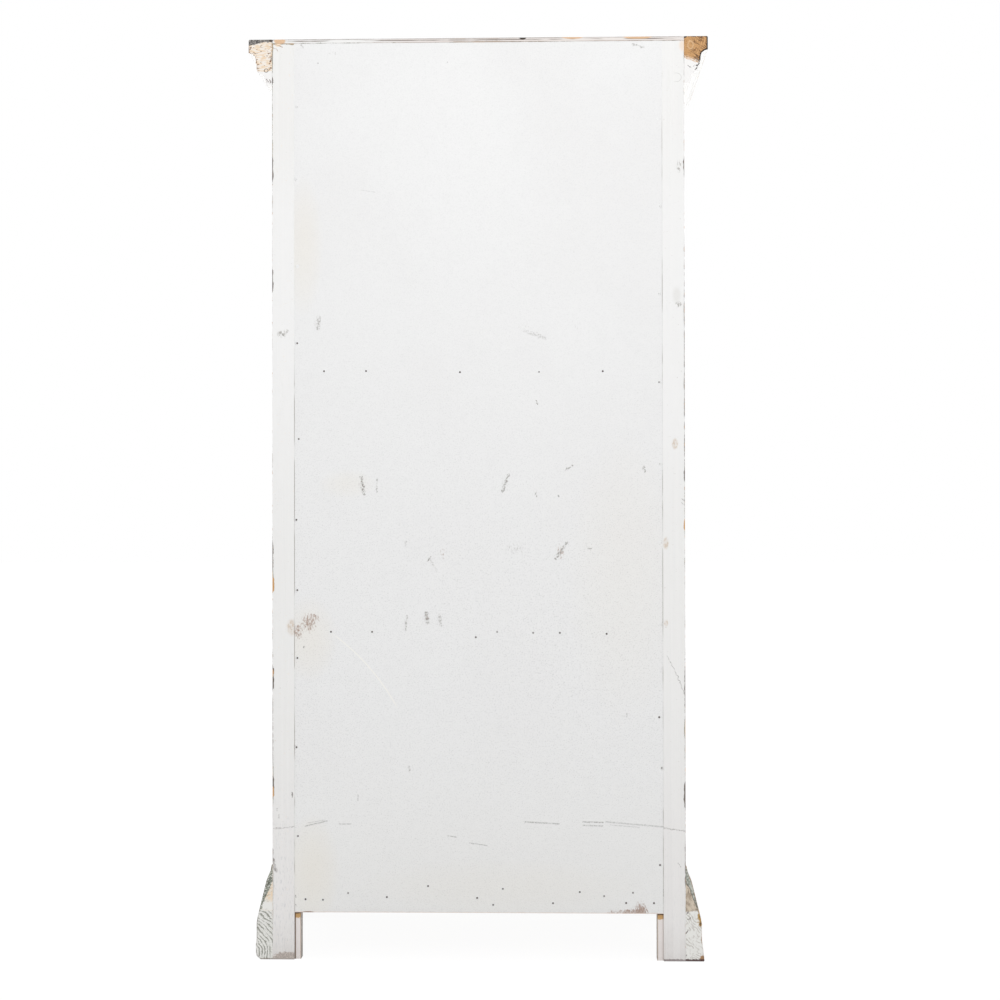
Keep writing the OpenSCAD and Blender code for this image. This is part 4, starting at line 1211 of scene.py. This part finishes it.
def screw_heads(name, places, radius, proud, body):
    """Slotted screw heads. Each place is a point on the surface and the way the head faces."""
    draw = random.Random(name)
    points, faces = [], []
    slot_half, slot_depth, steps = radius * 0.14, 0.5 * MM, 10
    for point, normal in places:
        across, along, out = frame_of(normal, draw.uniform(0, math.pi))
        limit = math.asin(slot_half / radius)
        for way in (1, -1):
            rim = []
            for i in range(steps + 1):
                angle = limit + (math.pi - 2 * limit) * i / steps
                rim.append((radius * math.cos(angle), way * radius * math.sin(angle)))
            first = len(points)
            levels = ((1.0, -slot_depth), (1.0, proud * 0.4), (0.86, proud))
            for scale, level in levels:
                for u, v in rim:
                    inner_v = way * slot_half + (v - way * slot_half) * scale
                    points.append(Vector(point) + across * (u * scale) + along * inner_v + out * level)
            faces += wall(first, len(rim), len(levels), flip=way < 0)
    shade_by_angle(make_piece(name, points, faces, body, IRON))


def domes(name, places, radius, height, body):
    """Round-headed pins. Each place is a point on the surface and the way the head faces."""
    points, faces = [], []
    turns, rings = 14, 4
    for point, normal in places:
        across, along, out = frame_of(normal, 0.0)
        first = len(points)
        for ring in range(rings):
            angle = 0.5 * math.pi * ring / rings
            for i in range(turns):
                turn = 2 * math.pi * i / turns
                flat = across * math.cos(turn) + along * math.sin(turn)
                flat = flat * radius * math.cos(angle)
                points.append(Vector(point) + flat + out * height * math.sin(angle))
        points.append(Vector(point) + out * height)
        *sides, top, bottom = wall(first, turns, rings)
        faces += sides
        for i in range(turns):
            faces.append((top[i], top[(i + 1) % turns], len(points) - 1))
        faces.append(bottom)
    round_sides(make_piece(name, points, faces, body, BRASS), turns)


IRON = aged_iron("iron", *CAD_BOUNDS)
BRASS = aged_brass("brass", *CAD_BOUNDS)
SILL_TENON = 20 * MM
# Height on a hinge leaf, as a share of half its height, and millimetres back from the frame's face
HINGE_HOLES = [(-0.68, 8), (0.0, 13), (0.68, 8)]
CORNER_HOLES = [(0.12, 0.14), (0.88, 0.14), (0.12, 0.86), (0.88, 0.86)]
KEEPER_HOLES = [(0.35, 0.13), (0.35, 0.87)]


def hinge_screws(node, body, face_x, normal_x):
    """Three screws on each of a node's hinge leaves, set in a shallow V on the leaf's open face."""
    places = []
    for low, high in islands(node):
        side = 1 if low.x + high.x > 0 else -1
        middle, half = (low.z + high.z) / 2, (high.z - low.z) / 2
        for offset, y in HINGE_HOLES:
            point = (side * face_x, Y_FACE + y * MM, middle + offset * half)
            places.append((point, (side * normal_x, 0, 0)))
    screw_heads(node + "_screws", places, 3.1 * MM, 0.2 * MM, body)


def plate_screws(node, body, holes):
    """Screws in the rear of a plate, at holes given as shares of its width and height."""
    low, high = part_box(node)
    places = []
    for u, v in holes:
        point = (low.x + (high.x - low.x) * u, high.y, low.z + (high.z - low.z) * v)
        places.append((point, (0, 1, 0)))
    screw_heads(node + "_screws", places, 2.6 * MM, 0.3 * MM, body)


def make_fixings():
    """The screws of the hinges, lock, keeper and bolt plates, and the escutcheons' pins."""
    post_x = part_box("sill_rail")[1].x - SILL_TENON
    door_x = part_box("right_door_hinge_stile")[1].x
    hinge_screws("hinge_frame_leaves", "carcass", post_x, -1)
    for side in ("left", "right"):
        hinge_screws(f"{side}_door_hinge_leaves", f"{side}_door", door_x, 1)
        low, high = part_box(f"{side}_door_escutcheon")
        middle = (low.x + high.x) / 2
        ends = [((middle, low.y, z), (0, -1, 0)) for z in (low.z + 6 * MM, high.z - 6 * MM)]
        domes(f"{side}_door_escutcheon_pins", ends, 2.0 * MM, 1.2 * MM, f"{side}_door")
    plate_screws("lock_case", "right_door", CORNER_HOLES)
    plate_screws("left_door_lock_keeper", "left_door", KEEPER_HOLES)
    places = []
    for low, high in islands("left_door_bolt_plates"):
        for x in (low.x + 4 * MM, high.x - 4 * MM):
            for z in (low.z + 30 * MM, high.z - 30 * MM):
                places.append(((x, low.y + 2 * MM, z), (0, 1, 0)))
    screw_heads("left_door_bolt_plate_screws", places, 2.2 * MM, 0.2 * MM, "left_door")


make_fixings()


def finish_blind_keyhole(graph):
    """The wood behind the left-hand escutcheon, which has no lock, is painted dark: painted shade for the
    inside of its keyhole.
    """
    low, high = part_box("left_door_escutcheon")
    middle = (low + high) / 2
    keyhole_shade = graph.blot(middle.x, middle.z, (high.x - low.x) * 0.42, (high.z - low.z) * 0.42)
    front = graph.y < graph.low.y + 2 * MM
    # Painted shade in the keyhole, where the dark inside of a lock would be.
    graph.layer(front * keyhole_shade.ramp(0.0, 0.2), GRIME_AND_SHADE, 0.9)
    return graph.finish()


# ------------------------------------------------------------------ a foot worn at its corner

# A point and a direction of each plane beyond which the corner is rubbed away
WORN_PLANES = [
    ((0.4500, Y_BACK, 0.0), (0.82, 0.35, -0.45)),
    ((0.4590, Y_BACK, 0.022), (0.97, 0.24, -0.06)),
]


def worn_foot(node):
    """A copy of a side skirt whose rear outer corner is rubbed away at the floor."""
    solid = cleaned_copy(NODES[node].data)
    for point, normal in WORN_PLANES:
        bmesh.ops.bisect_plane(
            solid, geom=solid.verts[:] + solid.edges[:] + solid.faces[:],
            plane_co=point, plane_no=normal, clear_outer=True, dist=1e-7)
        bmesh.ops.holes_fill(solid, edges=[edge for edge in solid.edges if edge.is_boundary])
    bmesh.ops.recalc_face_normals(solid, faces=solid.faces)
    mesh = bpy.data.meshes.new(node + "_worn")
    solid.to_mesh(mesh)
    solid.free()
    piece = add_piece(mesh, "carcass")
    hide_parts(node)
    return piece


# ------------------------------------------------------------------ finishes of the CAD nodes

# How much the edges are worn on the pieces that are worn more than the others
WEAR = {"skirt_front": 0.9, "sill_rail": 0.9, "cornice_front": 0.8, "right_door_astragal": 0.9}
COMMON_WEAR = 0.6


def finish_painted(name, piece, low, high):
    """Softens a painted piece and gives it its coat, with the marks of its own where it has any."""
    post = name.startswith("rear_post")
    profile = name.startswith(("cornice", "skirt")) or name.endswith("door_top_rail")
    soften(piece, POST_ARRIS if post else PAINTED_ARRIS)
    graph = painted_pine(
        name, low, high, wear=WEAR.get(name, COMMON_WEAR), bent=4 * MM if profile else 0.0,
        warmth=0.08 if post else 0.35, chips=0.0 if high.y > Y_BACK - MM else 0.07)
    if low.z < 0.05:
        floor_dirt(graph)
    side = 1 if low.x + high.x > 0 else -1
    if name in ("cornice_left", "cornice_right"):
        return finish_cornice_end(graph, side)
    if name in ("skirt_left", "skirt_right"):
        return finish_skirt_end(graph, side)
    if post:
        return finish_rear_post(graph, side)
    if name == "top_board":
        return finish_top_board(graph)
    if name == "left_door_meeting_stile":
        return finish_blind_keyhole(graph)
    return graph.finish()


def finish_nodes():
    metals = {"iron": IRON, "brass": BRASS}
    worn = {"skirt_right": worn_foot("skirt_right")}
    for name, node in NODES.items():
        piece = worn.get(name, node)
        if piece.hide_render:
            continue
        low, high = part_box(name)
        slot = node.data.materials[0].name.split(".")[0]
        if slot in metals:
            soften(piece, METAL_ARRIS)
            material = metals[slot]
        elif slot == "raw_pine" and name != "top_board":
            soften(piece, RAW_ARRIS)
            material = bare_pine(name, low, high)
        else:
            material = finish_painted(name, piece, low, high)
        set_material(piece, material)


finish_nodes()


# ------------------------------------------------------------------ camera, floor and light

CAMERA_PLACE = (-0.148, Y_BACK + 3.8, 0.92)
CAMERA_TURN = (1.549, 0.397, -0.081)  # yaw, pitch and roll in degrees, from square on
CAMERA_LENS = 66.48
FLOOR_HALF = 30.0
FLOOR_GREY = (0.80, 0.80, 0.80)
FLOOR_GLOW = 1.06
GLOW_SHARE = 0.90
BACKDROP_LIGHT = 0.68


def make_camera():
    """Level with the middle of the back, a little to its right, turned by less than two degrees."""
    lens = bpy.data.cameras.new("camera")
    lens.lens = CAMERA_LENS
    lens.sensor_width = 36
    lens.clip_end = 100
    camera = add_object("camera", lens)
    yaw, pitch, roll = (math.radians(angle) for angle in CAMERA_TURN)
    turn = Matrix.Rotation(math.pi + yaw, 4, "Z") @ Matrix.Rotation(math.pi / 2 + pitch, 4, "X")
    camera.matrix_world = Matrix.Translation(CAMERA_PLACE) @ turn @ Matrix.Rotation(roll, 4, "Z")
    bpy.context.scene.camera = camera


def make_floor():
    """A pale matt sweep that glows to the eye, so that it fades into the backdrop."""
    mesh = bpy.data.meshes.new("floor")
    corners = [(x * FLOOR_HALF, y * FLOOR_HALF, 0) for x, y in ((-1, -1), (1, -1), (1, 1), (-1, 1))]
    mesh.from_pydata(corners, [], [(0, 1, 2, 3)])
    material = bpy.data.materials.new("floor")
    material.use_nodes = True
    tree = material.node_tree
    tree.nodes.clear()
    inputs = {"Base Color": FLOOR_GREY, "Roughness": 0.9, "Specular IOR Level": 0.1}
    shader = add_node(tree, "ShaderNodeBsdfPrincipled", inputs)
    glow = add_node(tree, "ShaderNodeEmission", {"Color": WHITE, "Strength": FLOOR_GLOW})
    seen = add_node(tree, "ShaderNodeLightPath").outputs["Is Camera Ray"]
    share = add_node(tree, "ShaderNodeMath", {0: seen, 1: GLOW_SHARE}, operation="MULTIPLY")
    inputs = {0: share.outputs[0], 1: shader.outputs[0], 2: glow.outputs[0]}
    either = add_node(tree, "ShaderNodeMixShader", inputs)
    add_node(tree, "ShaderNodeOutputMaterial", {"Surface": either.outputs[0]})
    mesh.materials.append(material)
    add_object("floor", mesh)


def make_world():
    """White backdrop for the eye, and a softer white light for the surfaces."""
    world = bpy.data.worlds.new("studio")
    bpy.context.scene.world = world
    world.use_nodes = True
    tree = world.node_tree
    tree.nodes.clear()
    seen = add_node(tree, "ShaderNodeLightPath").outputs["Is Camera Ray"]
    strength = add_node(tree, "ShaderNodeMapRange", {0: seen, 3: BACKDROP_LIGHT, 4: 1.0})
    back = add_node(tree, "ShaderNodeBackground", {"Color": WHITE, "Strength": strength.outputs[0]})
    add_node(tree, "ShaderNodeOutputWorld", {"Surface": back.outputs[0]})


def add_lamp(name, kind, place, target, power, **settings):
    light = bpy.data.lights.new(name, kind)
    light.energy = power
    for key, value in settings.items():
        setattr(light, key, value)
    lamp = add_object(name, light)
    lamp.location = place
    lamp.rotation_euler = (Vector(target) - Vector(place)).to_track_quat("-Z", "Y").to_euler()


def make_lights():
    """Soft keys behind and in front, weak fills, and a narrow beam up to each side cornice."""
    add_lamp("back_key", "AREA", (-0.20, 2.9, 2.5), (0, Y_BACK, 1.5), 30, size=1.6)
    add_lamp("front_key", "AREA", (1.7, -2.4, 2.9), (0, Y_FACE, 1.2), 24, size=1.2)
    add_lamp("left_fill", "AREA", (-3.0, -0.8, 2.4), (0, 0, 1.0), 7, size=1.6)
    add_lamp("right_fill", "AREA", (3.0, 0.2, 2.2), (0, 0, 1.0), 3, size=1.6)
    beam = {"shadow_soft_size": 0.15, "spot_size": math.radians(26), "spot_blend": 0.5}
    add_lamp("under_cornice_left", "SPOT", (-1.2, -0.05, 0.1), (-0.45, 0.0, 1.86), 66, **beam)
    add_lamp("under_cornice_right", "SPOT", (1.2, -0.05, 0.1), (0.45, 0.0, 1.86), 66, **beam)
    add_lamp("overhead", "SUN", (0, 0, 5), (0, 0, 0), 0.3, angle=math.radians(50))


make_camera()
make_floor()
make_world()
make_lights()
bpy.context.scene.view_settings.view_transform = "Standard"
